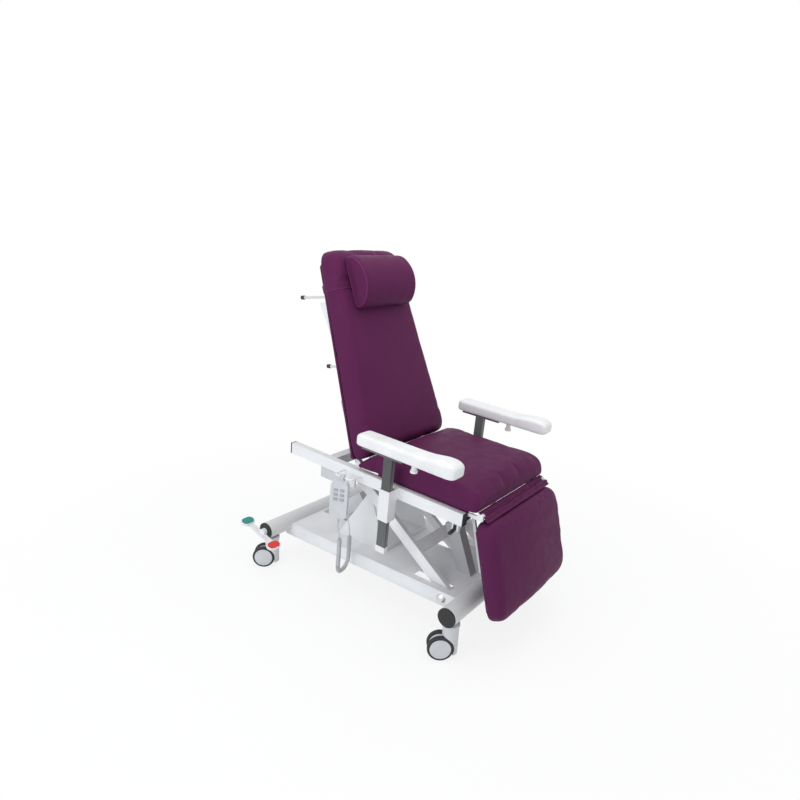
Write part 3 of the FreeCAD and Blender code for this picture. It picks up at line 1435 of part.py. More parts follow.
def least_gap(path):
    """Least distance between middle points that lie more than half a curl apart along the cord."""
    points = path.discretize(Distance=1.5)
    apart = int(math.pi * (D.curl_outer - D.cord_dia) / 2 / 1.5)
    cells = {}
    for index, point in enumerate(points):
        cells.setdefault(tuple(int(c // 12) for c in point), []).append(index)
    least = 1e9
    for (i, j, k), members in cells.items():
        near = [n for a in (-1, 0, 1) for b in (-1, 0, 1) for c in (-1, 0, 1)
                for n in cells.get((i + a, j + b, k + c), [])]
        for first in members:
            for second in near:
                if second - first > apart:
                    least = min(least, points[first].distanceToPoint(points[second]))
    return least


# Release lever

def release_lever():
    """A rod that rocks about a front-to-back pin, its grip outside the rail."""
    pivot = Vector(D.lever_x, D.lever_y, D.lever_z)
    place = FRAME * Placement(pivot, Rotation(Vector(0, 1, 0), -D.lever_tilt))
    bar = rod("lever_bar", "x", "lever_dia", ("-lever_outer", "0", "0"), "lever_outer + lever_inner")
    hub = rod("lever_hub", "y", "lever_hub_dia", ("0", "-lever_hub_half", "0"), "2 * lever_hub_half")
    grip = rod("lever_grip", "x", "grip_dia", ("-lever_outer", "0", "0"), "grip_length")
    bore = rod("lever_bore", "y", "lever_pin_dia + 2 * running", ("0", "-lever_hub_dia", "0"),
               "2 * lever_hub_dia")
    node("release_lever", cut("release_lever", fuse("lever_solid", [bar, hub, grip]), [bore]), place)


# Casters

def caster(end, side, sign):
    name = "%s_%s_caster" % (end, side)
    middle = D.tube_length / 2 - D.caster_inset
    turn = Placement(Vector(), Rotation(Vector(0, 0, 1), getattr(D, side + "_caster_turn")))
    place = PLAN * at(sign * middle, getattr(D, end + "_tube_y"), 0) * turn
    hub = ("caster_trail", "wheel_dia / 2")
    reach = "(wheel_gap / 2 + wheel_width)"
    collar_low = "(tube_z - tube_od / 2 - play - collar_thick)"
    tower = rod(name + "_tower_solid", "z", "tower_dia", ("0", "0", "tower_low"), collar_low + " - tower_low")
    wells = []
    for face, x_low in (("left", "-%s - hood_gap" % reach), ("right", "wheel_gap / 2 - play")):
        wells.append(rod("%s_well_%s" % (name, face), "x", "wheel_dia + 2 * hood_gap", (x_low,) + hub,
                         "wheel_width + hood_gap + play"))
    web = rod(name + "_web", "x", "web_dia", ("-wheel_gap / 2 + play",) + hub, "wheel_gap - 2 * play")
    axle = rod(name + "_axle", "x", "wheel_axle_dia", ("-%s" % reach,) + hub, "2 * " + reach)
    collar = rod(name + "_collar", "z", "collar_dia", ("0", "0", collar_low), "collar_thick")
    stem = rod(name + "_stem", "z", "stem_dia", ("0", "0", collar_low), "stem_top - " + collar_low)
    body = cut(name + "_tower", tower, wells)
    node(name + "_housing", fuse(name + "_housing", [body, web, axle, collar, stem]), place)
    wheels = []
    for face, x_sign in (("left", -1), ("right", 1)):
        inner = "wheel_gap / 2"
        outline = [(inner, "wheel_axle_dia / 2 + running"),
                   (inner, "wheel_dia / 2 - 4"), (inner + " + 4", "wheel_dia / 2"),
                   (inner + " + wheel_width - 6", "wheel_dia / 2"),
                   (inner + " + wheel_width", "wheel_dia / 2 - 9"),
                   (inner + " + wheel_width - 3", "wheel_dia / 2 - 13"),
                   (inner + " + wheel_width - 1", "wheel_axle_dia / 2 + running")]
        if x_sign < 0:
            outline = [("-(%s)" % x, radius) for x, radius in reversed(outline)]
        wheel = turned("%s_wheel_%s" % (name, face), outline)
        wheel.Placement = at(0, D.caster_trail, D.wheel_dia / 2)
        wheels.append(wheel)
    node(name + "_wheels", group(name + "_wheels", wheels), place)


# Brake pedal at the near end of the rear tube

def brake_pedal():
    place = PLAN * at(0, D.rear_tube_y, D.tube_z, D.pedal_tilt)
    outer = "-(tube_length / 2 + cap_thick + play)"
    hub_x = outer + " - pedal_thick * 2"
    shaft = rod("brake_shaft", "x", "brake_shaft_dia", (hub_x, "0", "0"), "tube_length - pedal_thick")
    hub = rod("pedal_hub", "x", "2 * brake_shaft_dia", (hub_x, "0", "0"), "2 * pedal_thick")
    bar = box("pedal_bar", (hub_x + " - pedal_width / 2", hub_x + " + pedal_thick"),
              ("-pedal_reach", "pedal_reach"), ("-pedal_arm_depth / 2", "0"))
    node("brake_pedal", fuse("brake_pedal", [shaft, hub, bar]), place)
    for label, middle in (("free_pad", "pedal_reach"), ("lock_pad", "-pedal_reach")):
        x = hub_x + " - pedal_thick"
        half = "(pedal_pad_length - pedal_pad_width) / 2"
        outside, inside = x + " - " + half, x + " + " + half
        width = (middle + " - pedal_pad_width / 2", middle + " + pedal_pad_width / 2")
        block = box(label + "_block", (outside, inside), width, ("0", "pedal_pad_thick"))
        ends = [rod("%s_%s" % (label, end), "z", "pedal_pad_width", (end_x, middle, "0"), "pedal_pad_thick")
                for end, end_x in (("outer", outside), ("inner", inside))]
        node(label, fuse(label, [block] + ends), place)


# Build every piece

cross_tube("front")
cross_tube("rear")
tube_caps()
chassis_tray()
lower_axle()
pedestal()
stop_post()
lift_arms()
level_link()
lift_drive()
for side_name, side_sign in SIDES:
    side_rail(side_name, side_sign)
    armrest(side_name, side_sign)
rail_caps()
cross_members()
seat_board()
seat_cushion()
back_board()
back_brackets()
back_cushion()
head_pillow()
pillow_strap()
back_holder()
leg_board()
leg_brackets()
leg_cushion()
back_drive()
leg_drive()
handset_hook()
handset()
control_box()
handset_cord()
release_lever()
for tube_end in ("front", "rear"):
    for side_name, side_sign in SIDES:
        caster(tube_end, side_name, side_sign)
brake_pedal()

doc.recompute()

for item in doc.Objects:
    if "Invalid" in item.State or "Error" in item.State:
        raise RuntimeError("failed object: %s %s" % (item.Name, item.State))
for label, item in NODES.items():
    if item.Shape.isNull() or not item.Shape.isValid() or not item.Shape.Solids:
        raise RuntimeError("bad shape: " + label)

os.makedirs("parts", exist_ok=True)
for label, item in NODES.items():
    item.Shape.exportStep("parts/%s.step" % label)
whole = FreeCAD.BoundBox()
for label, item in NODES.items():
    whole.add(item.Shape.BoundBox)
print("nodes", len(NODES), "box", whole)
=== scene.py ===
import json
import math

import bmesh
import bpy
import numpy as np
from mathutils import Matrix, Vector
from mathutils.bvhtree import BVHTree


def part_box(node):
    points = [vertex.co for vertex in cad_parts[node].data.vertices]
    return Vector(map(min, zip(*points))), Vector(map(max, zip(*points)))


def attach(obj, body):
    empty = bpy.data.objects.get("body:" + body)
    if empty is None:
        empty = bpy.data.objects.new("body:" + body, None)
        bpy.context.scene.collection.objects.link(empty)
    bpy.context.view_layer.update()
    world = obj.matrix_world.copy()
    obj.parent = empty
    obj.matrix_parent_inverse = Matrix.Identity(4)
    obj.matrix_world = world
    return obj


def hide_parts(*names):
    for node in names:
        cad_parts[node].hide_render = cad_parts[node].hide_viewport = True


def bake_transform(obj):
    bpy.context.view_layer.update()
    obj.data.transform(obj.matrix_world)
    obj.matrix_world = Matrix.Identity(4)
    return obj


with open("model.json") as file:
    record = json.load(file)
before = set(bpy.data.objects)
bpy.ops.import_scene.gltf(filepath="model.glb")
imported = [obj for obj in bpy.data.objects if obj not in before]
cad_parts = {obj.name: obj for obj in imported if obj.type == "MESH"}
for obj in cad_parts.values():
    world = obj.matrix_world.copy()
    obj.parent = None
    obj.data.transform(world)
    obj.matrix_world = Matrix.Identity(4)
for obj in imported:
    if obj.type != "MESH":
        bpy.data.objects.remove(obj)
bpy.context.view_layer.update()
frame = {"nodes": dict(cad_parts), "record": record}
nodes = frame["nodes"]
scene = bpy.context.scene
scene.view_settings.view_transform = "Standard"


# Places of the upper frame, the back and the leg rest, in metres

def tipped(degrees):
    return Matrix.Rotation(math.radians(degrees), 4, "X")


PLAN = Matrix.Translation((0.0149, -0.0186765, 0))
FRAME = PLAN @ Matrix.Translation((0, 0, 0.45)) @ tipped(3) @ Matrix.Translation((0, 0, -0.45))
BACK = FRAME @ Matrix.Translation((0, 0.116, 0.606)) @ tipped(-23)
LEG = FRAME @ Matrix.Translation((0, -0.47, 0.588)) @ tipped(-17)
PEDAL = PLAN @ Matrix.Translation((0, 0.556, 0.187)) @ tipped(18.5)


# Small helpers for meshes

WELD = 1e-6


def mesh_from(name, points, faces):
    mesh = bpy.data.meshes.new(name)
    mesh.from_pydata(points, [], faces)
    return mesh


def mesh_of(work, name):
    """Ends an edit and gives its mesh."""
    mesh = bpy.data.meshes.new(name)
    work.to_mesh(mesh)
    work.free()
    return mesh


def face_outwards(mesh):
    work = bmesh.new()
    work.from_mesh(mesh)
    bmesh.ops.recalc_face_normals(work, faces=work.faces)
    work.to_mesh(mesh)
    work.free()


def smooth(mesh, sharp=None):
    """Shades a mesh smooth, with creases above an angle in degrees if one is given."""
    mesh.polygons.foreach_set("use_smooth", [True] * len(mesh.polygons))
    mesh.update()
    if sharp is not None:
        mesh.set_sharp_from_angle(angle=math.radians(sharp))


def ring_faces(rings, around):
    """Faces between rings of points, each ring closed on itself."""
    faces = []
    for ring in range(rings - 1):
        for turn in range(around):
            after = (turn + 1) % around
            faces.append((ring * around + turn, ring * around + after,
                          (ring + 1) * around + after, (ring + 1) * around + turn))
    return faces


def evaluated(obj):
    """A copy of an object's mesh with its modifiers applied."""
    graph = bpy.context.evaluated_depsgraph_get()
    return bpy.data.meshes.new_from_object(obj.evaluated_get(graph))


# Camera at the photograph's viewing angle

CAMERA_PLACE = (-2.0314, -1.4543, 1.5369)
CAMERA_RIGHT = Vector((0.5986, -0.7991, 0.0563))
CAMERA_UP = Vector((0.2002, 0.2173, 0.9554))
CAMERA_BACK = Vector((-0.7757, -0.5606, 0.2900))
SENSOR_WIDTH, LENS = 36, 27.89
SHIFT_X, SHIFT_Y = -0.0196, 0.0211


def add_camera():
    data = bpy.data.cameras.new("photo_camera")
    data.sensor_width = SENSOR_WIDTH
    data.lens = LENS
    data.shift_x = SHIFT_X
    data.shift_y = SHIFT_Y
    camera = bpy.data.objects.new("photo_camera", data)
    scene.collection.objects.link(camera)
    turn = Matrix((CAMERA_RIGHT, CAMERA_UP, CAMERA_BACK)).transposed().to_4x4()
    camera.matrix_world = PLAN @ Matrix.Translation(CAMERA_PLACE) @ turn
    scene.camera = camera


# Floor, world and soft studio lamps

FLOOR_REACH, FLOOR_DROP = 30, 0.0004
FLOOR_TONE = (0.9, 0.9, 0.9, 1)
# Distance from the chair over which the floor's glow rises, and the glow at both ends
GLOW_NEAR, GLOW_FAR = 0.6, 2.2
GLOW_LOW, GLOW_FULL = 0.82, 1
SKY_TINT, SKY_STRENGTH = (0.93, 0.96, 1, 1), 0.72
BACKDROP, BACKDROP_STRENGTH = (1, 1, 1, 1), 1
# Name: place, target, size, power and colour
LAMPS = {
    "overhead": ((-0.2, -0.4, 2.7), (0, 0, 0.7), 1.9, 19, (1, 0.99, 0.97)),
    "near_fill": ((-2.8, 0.4, 1.7), (0, 0.1, 0.7), 1.8, 26, (0.9, 0.93, 1)),
    "front_fill": ((-0.6, -3.2, 1.6), (0, -0.2, 0.6), 2.0, 2, (1, 0.98, 0.96)),
}


def join_shaders(tree, out, share, first, second):
    """Shows the second shader by a share from 0 to 1, and the first for the rest."""
    mix = tree.nodes.new("ShaderNodeMixShader")
    tree.links.new(share, mix.inputs[0])
    tree.links.new(first.outputs[0], mix.inputs[1])
    tree.links.new(second.outputs[0], mix.inputs[2])
    tree.links.new(mix.outputs[0], out.inputs[0])


def add_floor():
    reach = FLOOR_REACH
    corners = [(-reach, -reach, 0), (reach, -reach, 0), (reach, reach, 0), (-reach, reach, 0)]
    mesh = mesh_from("floor", corners, [(0, 1, 2, 3)])
    floor = bpy.data.objects.new("floor", mesh)
    floor.location.z = -FLOOR_DROP
    scene.collection.objects.link(floor)
    material = bpy.data.materials.new("pale_floor")
    material.use_nodes = True
    tree = material.node_tree
    tree.nodes.clear()
    out = tree.nodes.new("ShaderNodeOutputMaterial")
    plain = tree.nodes.new("ShaderNodeBsdfDiffuse")
    plain.inputs["Color"].default_value = FLOOR_TONE
    glow = tree.nodes.new("ShaderNodeEmission")
    glow.inputs["Color"].default_value = BACKDROP
    glow.inputs["Strength"].default_value = BACKDROP_STRENGTH
    share = tree.nodes.new("ShaderNodeMath")
    share.operation = "MULTIPLY"
    tree.links.new(seen_ray(tree), share.inputs[0])
    tree.links.new(away_from_chair(tree), share.inputs[1])
    join_shaders(tree, out, share.outputs[0], plain, glow)
    mesh.materials.append(material)


def away_from_chair(tree):
    """The floor's glow: less under the chair, where its shadow shows, and full further out."""
    spot = tree.nodes.new("ShaderNodeNewGeometry")
    distance = tree.nodes.new("ShaderNodeVectorMath")
    distance.operation = "LENGTH"
    tree.links.new(spot.outputs["Position"], distance.inputs[0])
    fade = tree.nodes.new("ShaderNodeMapRange")
    fade.inputs["From Min"].default_value = GLOW_NEAR
    fade.inputs["From Max"].default_value = GLOW_FAR
    fade.inputs["To Min"].default_value = GLOW_LOW
    fade.inputs["To Max"].default_value = GLOW_FULL
    tree.links.new(distance.outputs["Value"], fade.inputs["Value"])
    return fade.outputs["Result"]


def seen_ray(tree):
    """One for rays that show the background: straight, mirrored or through glass."""
    path = tree.nodes.new("ShaderNodeLightPath")
    first = tree.nodes.new("ShaderNodeMath")
    first.operation = "MAXIMUM"
    second = tree.nodes.new("ShaderNodeMath")
    second.operation = "MAXIMUM"
    tree.links.new(path.outputs["Is Camera Ray"], first.inputs[0])
    tree.links.new(path.outputs["Is Glossy Ray"], first.inputs[1])
    tree.links.new(first.outputs[0], second.inputs[0])
    tree.links.new(path.outputs["Is Transmission Ray"], second.inputs[1])
    return second.outputs[0]


def add_world():
    world = bpy.data.worlds.new("studio")
    scene.world = world
    world.use_nodes = True
    tree = world.node_tree
    tree.nodes.clear()
    out = tree.nodes.new("ShaderNodeOutputWorld")
    soft = tree.nodes.new("ShaderNodeBackground")
    soft.inputs["Color"].default_value = SKY_TINT
    soft.inputs["Strength"].default_value = SKY_STRENGTH
    white = tree.nodes.new("ShaderNodeBackground")
    white.inputs["Color"].default_value = BACKDROP
    white.inputs["Strength"].default_value = BACKDROP_STRENGTH
    join_shaders(tree, out, seen_ray(tree), soft, white)


def add_lamp(name, place, target, size, power, colour):
    data = bpy.data.lights.new(name, "AREA")
    data.shape = "SQUARE"
    data.size = size
    data.energy = power
    data.color = colour
    lamp = bpy.data.objects.new(name, data)
    scene.collection.objects.link(lamp)
    heading = Vector(target) - Vector(place)
    lamp.rotation_euler = heading.to_track_quat("-Z", "Y").to_euler()
    lamp.location = place


# Procedural materials

def new_material(name, colour, rough, metal=0.0):
    material = bpy.data.materials.new(name)
    material.use_nodes = True
    shader = material.node_tree.nodes["Principled BSDF"]
    shader.inputs["Base Color"].default_value = (*colour, 1)
    shader.inputs["Roughness"].default_value = rough
    shader.inputs["Metallic"].default_value = metal
    return material, material.node_tree, shader


def noise(tree, scale, detail=3.0, stretch=None):
    place = tree.nodes.new("ShaderNodeTexCoord")
    source = place.outputs["Object"]
    if stretch:
        mapping = tree.nodes.new("ShaderNodeMapping")
        mapping.inputs["Scale"].default_value = stretch
        tree.links.new(source, mapping.inputs["Vector"])
        source = mapping.outputs["Vector"]
    texture = tree.nodes.new("ShaderNodeTexNoise")
    texture.inputs["Scale"].default_value = scale
    texture.inputs["Detail"].default_value = detail
    tree.links.new(source, texture.inputs["Vector"])
    return texture.outputs["Fac"]


def cells(tree, scale):
    place = tree.nodes.new("ShaderNodeTexCoord")
    texture = tree.nodes.new("ShaderNodeTexVoronoi")
    texture.inputs["Scale"].default_value = scale
    tree.links.new(place.outputs["Object"], texture.inputs["Vector"])
    return texture.outputs["Distance"]


def ranged(tree, value, low, high):
    """Spreads the middle of a noise over a range."""
    node = tree.nodes.new("ShaderNodeMapRange")
    node.inputs["From Min"].default_value = 0.3
    node.inputs["From Max"].default_value = 0.7
    node.inputs["To Min"].default_value = low
    node.inputs["To Max"].default_value = high
    tree.links.new(value, node.inputs["Value"])
    return node.outputs["Result"]


def mixed(tree, share, first, second):
    node = tree.nodes.new("ShaderNodeMix")
    node.data_type = "RGBA"
    tree.links.new(share, node.inputs["Factor"])
    for socket, colour in ((node.inputs["A"], first), (node.inputs["B"], second)):
        if isinstance(colour, tuple):
            socket.default_value = (*colour, 1)
        else:
            tree.links.new(colour, socket)
    return node.outputs["Result"]


def bumped(tree, shader, height, strength, depth):
    node = tree.nodes.new("ShaderNodeBump")
    node.inputs["Strength"].default_value = strength
    node.inputs["Distance"].default_value = depth
    tree.links.new(height, node.inputs["Height"])
    tree.links.new(node.outputs["Normal"], shader.inputs["Normal"])


def added(tree, first, second, weight):
    """The first value plus a weighted second one."""
    node = tree.nodes.new("ShaderNodeMath")
    node.operation = "MULTIPLY_ADD"
    node.inputs[1].default_value = weight
    tree.links.new(second, node.inputs[0])
    tree.links.new(first, node.inputs[2])
    return node.outputs[0]


def scaled(colour, share):
    return tuple(min(1.0, part * share) for part in colour)


def edge_share(tree, low, high):
    """One along worn edges, from the surface's own curvature."""
    geometry = tree.nodes.new("ShaderNodeNewGeometry")
    node = tree.nodes.new("ShaderNodeMapRange")
    node.inputs["From Min"].default_value = low
    node.inputs["From Max"].default_value = high
    tree.links.new(geometry.outputs["Pointiness"], node.inputs["Value"])
    return node.outputs["Result"]


def painted(name, colour, rough, wear):
    """Powder coat: orange peel, faint dust and paler or darker edges."""
    material, tree, shader = new_material(name, colour, rough)
    dust = mixed(tree, ranged(tree, noise(tree, 9, 5), 0, 1), scaled(colour, 0.95), scaled(colour, 1.03))
    colours = mixed(tree, edge_share(tree, 0.53, 0.62), dust, wear)
    tree.links.new(colours, shader.inputs["Base Color"])
    tree.links.new(ranged(tree, noise(tree, 30, 4), rough - 0.06, rough + 0.08), shader.inputs["Roughness"])
    bumped(tree, shader, noise(tree, 420, 2), 0.12, 0.0006)
    return material


def moulded(name, colour, rough, scale=900, strength=0.18):
    """Moulded plastic: fine spark texture and slight sheen changes."""
    material, tree, shader = new_material(name, colour, rough)
    tone = mixed(tree, ranged(tree, noise(tree, 14, 4), 0, 1), scaled(colour, 0.94), scaled(colour, 1.05))
    tree.links.new(tone, shader.inputs["Base Color"])
    tree.links.new(ranged(tree, noise(tree, 55, 3), rough - 0.05, rough + 0.07), shader.inputs["Roughness"])
    bumped(tree, shader, noise(tree, scale, 2), strength, 0.0004)
    return material


def plated(name, colour):
    """Bright plate: fine streaks along one axis."""
    material, tree, shader = new_material(name, colour, 0.2, 1.0)
    streaks = noise(tree, 60, 4, (1, 12, 12))
    tree.links.new(ranged(tree, streaks, 0.14, 0.32), shader.inputs["Roughness"])
    tone = mixed(tree, noise(tree, 20, 3), scaled(colour, 0.88), scaled(colour, 1.08))
    tree.links.new(tone, shader.inputs["Base Color"])
    bumped(tree, shader, streaks, 0.05, 0.0003)
    return material


def vinyl(name, colour):
    """Upholstery vinyl: small pebbled grain and a slow colour drift."""
    material, tree, shader = new_material(name, colour, 0.46)
    shader.inputs["Specular IOR Level"].default_value = 0.06
    shader.inputs["Specular Tint"].default_value = (0.6, 0.3, 0.65, 1)
    drift = mixed(tree, ranged(tree, noise(tree, 4, 4), 0, 1), scaled(colour, 0.9), scaled(colour, 1.08))
    pebble = cells(tree, 620)
    tone = mixed(tree, ranged(tree, pebble, 0, 0.35), scaled(colour, 1.02), scaled(colour, 0.86))
    blend = tree.nodes.new("ShaderNodeMix")
    blend.data_type = "RGBA"
    blend.inputs["Factor"].default_value = 0.4
    tree.links.new(drift, blend.inputs["A"])
    tree.links.new(tone, blend.inputs["B"])
    tree.links.new(blend.outputs["Result"], shader.inputs["Base Color"])
    tree.links.new(ranged(tree, noise(tree, 24, 4), 0.4, 0.54), shader.inputs["Roughness"])
    bumped(tree, shader, added(tree, pebble, noise(tree, 90, 3), 0.8), 0.2, 0.0007)
    return material


def rubber(name, colour):
    """Tyre rubber: dull, with paler scuffs."""
    material, tree, shader = new_material(name, colour, 0.68)
    scuff = noise(tree, 70, 5)
    tone = mixed(tree, ranged(tree, scuff, 0, 0.5), colour, scaled(colour, 2.2))
    tree.links.new(tone, shader.inputs["Base Color"])
    tree.links.new(ranged(tree, scuff, 0.58, 0.8), shader.inputs["Roughness"])
    bumped(tree, shader, noise(tree, 500, 2), 0.15, 0.0005)
    return material


PLUM = (0.102, 0.0195, 0.07)
WHITE = (0.87, 0.87, 0.87)
LOOKS = {
    "white_steel": painted("white_powder_coat", WHITE, 0.42, (0.7, 0.7, 0.69)),
    "grey_steel": painted("grey_paint", (0.42, 0.43, 0.44), 0.42, (0.55, 0.55, 0.55)),
    "dark_steel": painted("dark_paint", (0.075, 0.075, 0.078), 0.4, (0.2, 0.2, 0.2)),
    "bright_steel": plated("bright_plate", (0.72, 0.72, 0.73)),
    "black_plastic": moulded("black_moulding", (0.012, 0.012, 0.013), 0.42),
    "grey_plastic": moulded("light_grey_moulding", (0.62, 0.63, 0.64), 0.45),
    "key_plastic": moulded("key_moulding", (0.4, 0.41, 0.43), 0.5),
    "white_plastic": moulded("white_moulding", (0.82, 0.82, 0.81), 0.4),
    "green_plastic": moulded("green_moulding", (0.005, 0.26, 0.21), 0.4),
    "red_plastic": moulded("red_moulding", (0.72, 0.03, 0.022), 0.4),
    "wheel_rubber": rubber("tyre_rubber", (0.02, 0.02, 0.021)),
    "vinyl": vinyl("plum_vinyl", PLUM),
    "cord_jacket": moulded("cord_jacket", (0.55, 0.56, 0.57), 0.5),
}
PALE_VINYL = vinyl("paler_vinyl", scaled(PLUM, 1.9))
SLOTS = {part["node"]: part["material_slot"] for part in frame["record"]["subparts"]}
BODIES = {}
for body_name, members in frame["record"]["behaviour"]["bodies"].items():
    BODIES.update({member: body_name for member in members})


def dress(obj, slot):
    obj.data.materials.clear()
    obj.data.materials.append(LOOKS[slot])


def add_object(name, mesh, body, slot):
    obj = bpy.data.objects.new(name, mesh)
    scene.collection.objects.link(obj)
    dress(obj, slot)
    if body:
        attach(obj, body)
    return obj


# The handset's curly cord

CORD_ROUTE = [
    (-0.3500, 0.0873, 0.3895),
    (-0.3500, 0.0886, 0.3655),
    (-0.3381, 0.0859, 0.3273),
    (-0.3377, 0.0911, 0.2288),
    (-0.3381, 0.0956, 0.1416),
    (-0.2491, 0.1186, 0.1428),
    (-0.2495, 0.1140, 0.2300),
    (-0.2471, 0.1138, 0.3107),
    (-0.2201, 0.1643, 0.3795),
    (-0.2141, 0.2084, 0.4359),
    (-0.2141, 0.2057, 0.4878),
]
CORD_DIAMETER = 0.0042
CURL_REACH = 0.0074
CURL_PITCH = 0.0062
# Heights at which the curls begin and end
CURL_TOP = 0.320
CURL_END = 0.288
CURL_STEPS = 14
LEAD_STEP = 0.006
ROUTE_RESOLUTION = 60


def nurbs_line(name, points):
    curve = bpy.data.curves.new(name, "CURVE")
    curve.dimensions = "3D"
    spline = curve.splines.new("NURBS")
    spline.points.add(len(points) - 1)
    for point, place in zip(spline.points, points):
        point.co = (*place, 1)
    spline.order_u = 3
    spline.use_endpoint_u = True
    return curve


def line_points(curve, resolution):
    """Points along a curve's own spline."""
    curve.splines[0].resolution_u = resolution
    helper = bpy.data.objects.new(curve.name + "_line", curve)
    scene.collection.objects.link(helper)
    bpy.context.view_layer.update()
    mesh = evaluated(helper)
    points = [vertex.co.copy() for vertex in mesh.vertices]
    bpy.data.objects.remove(helper)
    bpy.data.meshes.remove(mesh)
    return points


def curled(points):
    """Winds curls about the middle of a line, with a straight lead at each end."""
    steps = [0.0]
    for before, after in zip(points, points[1:]):
        steps.append(steps[-1] + (after - before).length)
    total = steps[-1]

    def spot(distance):
        """The point at a distance along the line, and the line's heading there."""
        index = min(max(np.searchsorted(steps, distance) - 1, 0), len(points) - 2)
        share = (distance - steps[index]) / (steps[index + 1] - steps[index])
        return points[index].lerp(points[index + 1], share), (points[index + 1] - points[index]).normalized()

    first = next(s for s, point in zip(steps, points) if point.z <= CURL_TOP)
    last = next(s for s, point in zip(reversed(steps), reversed(points)) if point.z <= CURL_END)
    turns = math.floor((last - first) / CURL_PITCH)
    last = first + turns * CURL_PITCH
    fade = 2 * CURL_PITCH
    stops = list(np.arange(0, first, LEAD_STEP))
    stops += list(np.arange(first, last, CURL_PITCH / CURL_STEPS))
    stops += list(np.arange(last, total, LEAD_STEP)) + [total]
    normal = Vector((1, 0, 0))
    result = []
    for distance in stops:
        middle, heading = spot(distance)
        normal = (normal - heading * normal.dot(heading)).normalized()
        side = heading.cross(normal)
        swell = max(0.0, min((distance - first) / fade, (last - distance) / fade, 1.0))
        swell = swell * swell * (3 - 2 * swell)
        angle = 2 * math.pi * (distance - first) / CURL_PITCH
        result.append(middle + (normal * math.cos(angle) + side * math.sin(angle)) * CURL_REACH * swell)
    return result


def add_cord():
    points = curled(line_points(nurbs_line("cord_route", CORD_ROUTE), ROUTE_RESOLUTION))
    curve = nurbs_line("curly_cord", points)
    curve.splines[0].resolution_u = 2
    curve.bevel_depth = CORD_DIAMETER / 2
    curve.bevel_resolution = 3
    curve.use_fill_caps = True
    cord = add_object("curly_cord", curve, "seat_frame", "cord_jacket")
    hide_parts("handset_cord")


# Padded pieces: the cushion's form, swelled by a short cloth run and tied down at its base

# Where each cushion's base lies on its own axis: Z for the seat, Y for the others
SEAT_BASE, LEG_BASE, BACK_BASE, PILLOW_BASE = 0.6003, 0.0187, -0.0103, -0.0962
STRAP_AT, STRAP_HALF = 0.711, 0.016
PILLOW_HALF = 0.16
PIPING_INSET = 0.985
# Distance over which a tied point gets free
TIE_REACH = 0.03
FORM_ROUNDS, SKIN_ROUNDS, EVEN_SHARE = 6, 4, 0.5
CLOTH_STEPS = 16


def merged(node):
    """An edit of a CAD piece's mesh copy, with its split corners joined."""
    work = bmesh.new()
    work.from_mesh(nodes[node].data)
    bmesh.ops.remove_doubles(work, verts=work.verts, dist=WELD)
    return work


def places(mesh):
    flat = np.zeros(len(mesh.vertices) * 3)
    mesh.vertices.foreach_get("co", flat)
    return flat.reshape(-1, 3)


def neighbours_mean(mesh, points, rounds, share):
    """Evens points along the mesh's edges."""
    pairs = np.zeros(len(mesh.edges) * 2, int)
    mesh.edges.foreach_get("vertices", pairs)
    pairs = pairs.reshape(-1, 2)
    count = np.bincount(pairs.ravel(), minlength=len(points))[:, None]
    for _ in range(rounds):
        total = np.zeros_like(points)
        np.add.at(total, pairs[:, 0], points[pairs[:, 1]])
        np.add.at(total, pairs[:, 1], points[pairs[:, 0]])
        points = points + share * (total / count - points)
    return points


def smoothstep(values):
    values = np.clip(values, 0, 1)
    return values * values * (3 - 2 * values)


def cushion(node, name, body, place, height, voxel, cap, tie=None):
    """height gives, from local points, how far each lies above the cushion's base, in metres.
    cap is the most that a point may swell. tie gives shares from 0, held, to 1, free.
    """
    helper = bpy.data.objects.new(name + "_form", mesh_of(merged(node), node + "_form"))
    scene.collection.objects.link(helper)
    remesh = helper.modifiers.new("even", "REMESH")
    remesh.mode = "VOXEL"
    remesh.voxel_size = voxel
    even = evaluated(helper)
    bpy.data.objects.remove(helper)
    rest = neighbours_mean(even, places(even), FORM_ROUNDS, EVEN_SHARE)
    even.vertices.foreach_set("co", rest.ravel())
    even.update()
    moved = swollen(even, name, rest)
    shift = moved - rest
    shift -= shift.mean(axis=0)
    length = np.linalg.norm(shift, axis=1, keepdims=True)
    shift *= np.minimum(1, cap / np.maximum(length, 1e-9))
    inverse = np.array(place.inverted())
    local = rest @ inverse[:3, :3].T + inverse[:3, 3]
    free = smoothstep(height(local) / TIE_REACH)
    if tie is not None:
        free = free * tie(local)
    points = neighbours_mean(even, rest + shift * free[:, None], SKIN_ROUNDS, EVEN_SHARE)
    even.vertices.foreach_set("co", points.ravel())
    even.update()
    smooth(even)
    even.name = name
    piece = add_object(name, even, body, "vinyl")
    finer = piece.modifiers.new("finer", "SUBSURF")
    finer.levels = 1
    finer.render_levels = 1
    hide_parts(node)
    return piece


def swollen(mesh, name, rest):
    """A short pressure run; returns where the points end up."""
    helper = bpy.data.objects.new(name + "_cloth", mesh.copy())
    scene.collection.objects.link(helper)
    cloth = helper.modifiers.new("cloth", "CLOTH")
    cloth.settings.quality = 4
    cloth.settings.use_pressure = True
    cloth.settings.uniform_pressure_force = 4
    cloth.settings.tension_stiffness = 25
    cloth.settings.compression_stiffness = 25
    cloth.settings.bending_stiffness = 2
    cloth.settings.effector_weights.gravity = 0
    cloth.point_cache.frame_start = 1
    cloth.point_cache.frame_end = CLOTH_STEPS
    for step in range(1, CLOTH_STEPS + 1):
        scene.frame_set(step)
    result = places(evaluated(helper))
    bpy.data.objects.remove(helper)
    scene.frame_set(1)
    return result if result.shape == rest.shape else rest


def clear_of_strap(points):
    return smoothstep((np.abs(points[:, 2] - STRAP_AT) - STRAP_HALF) / TIE_REACH)


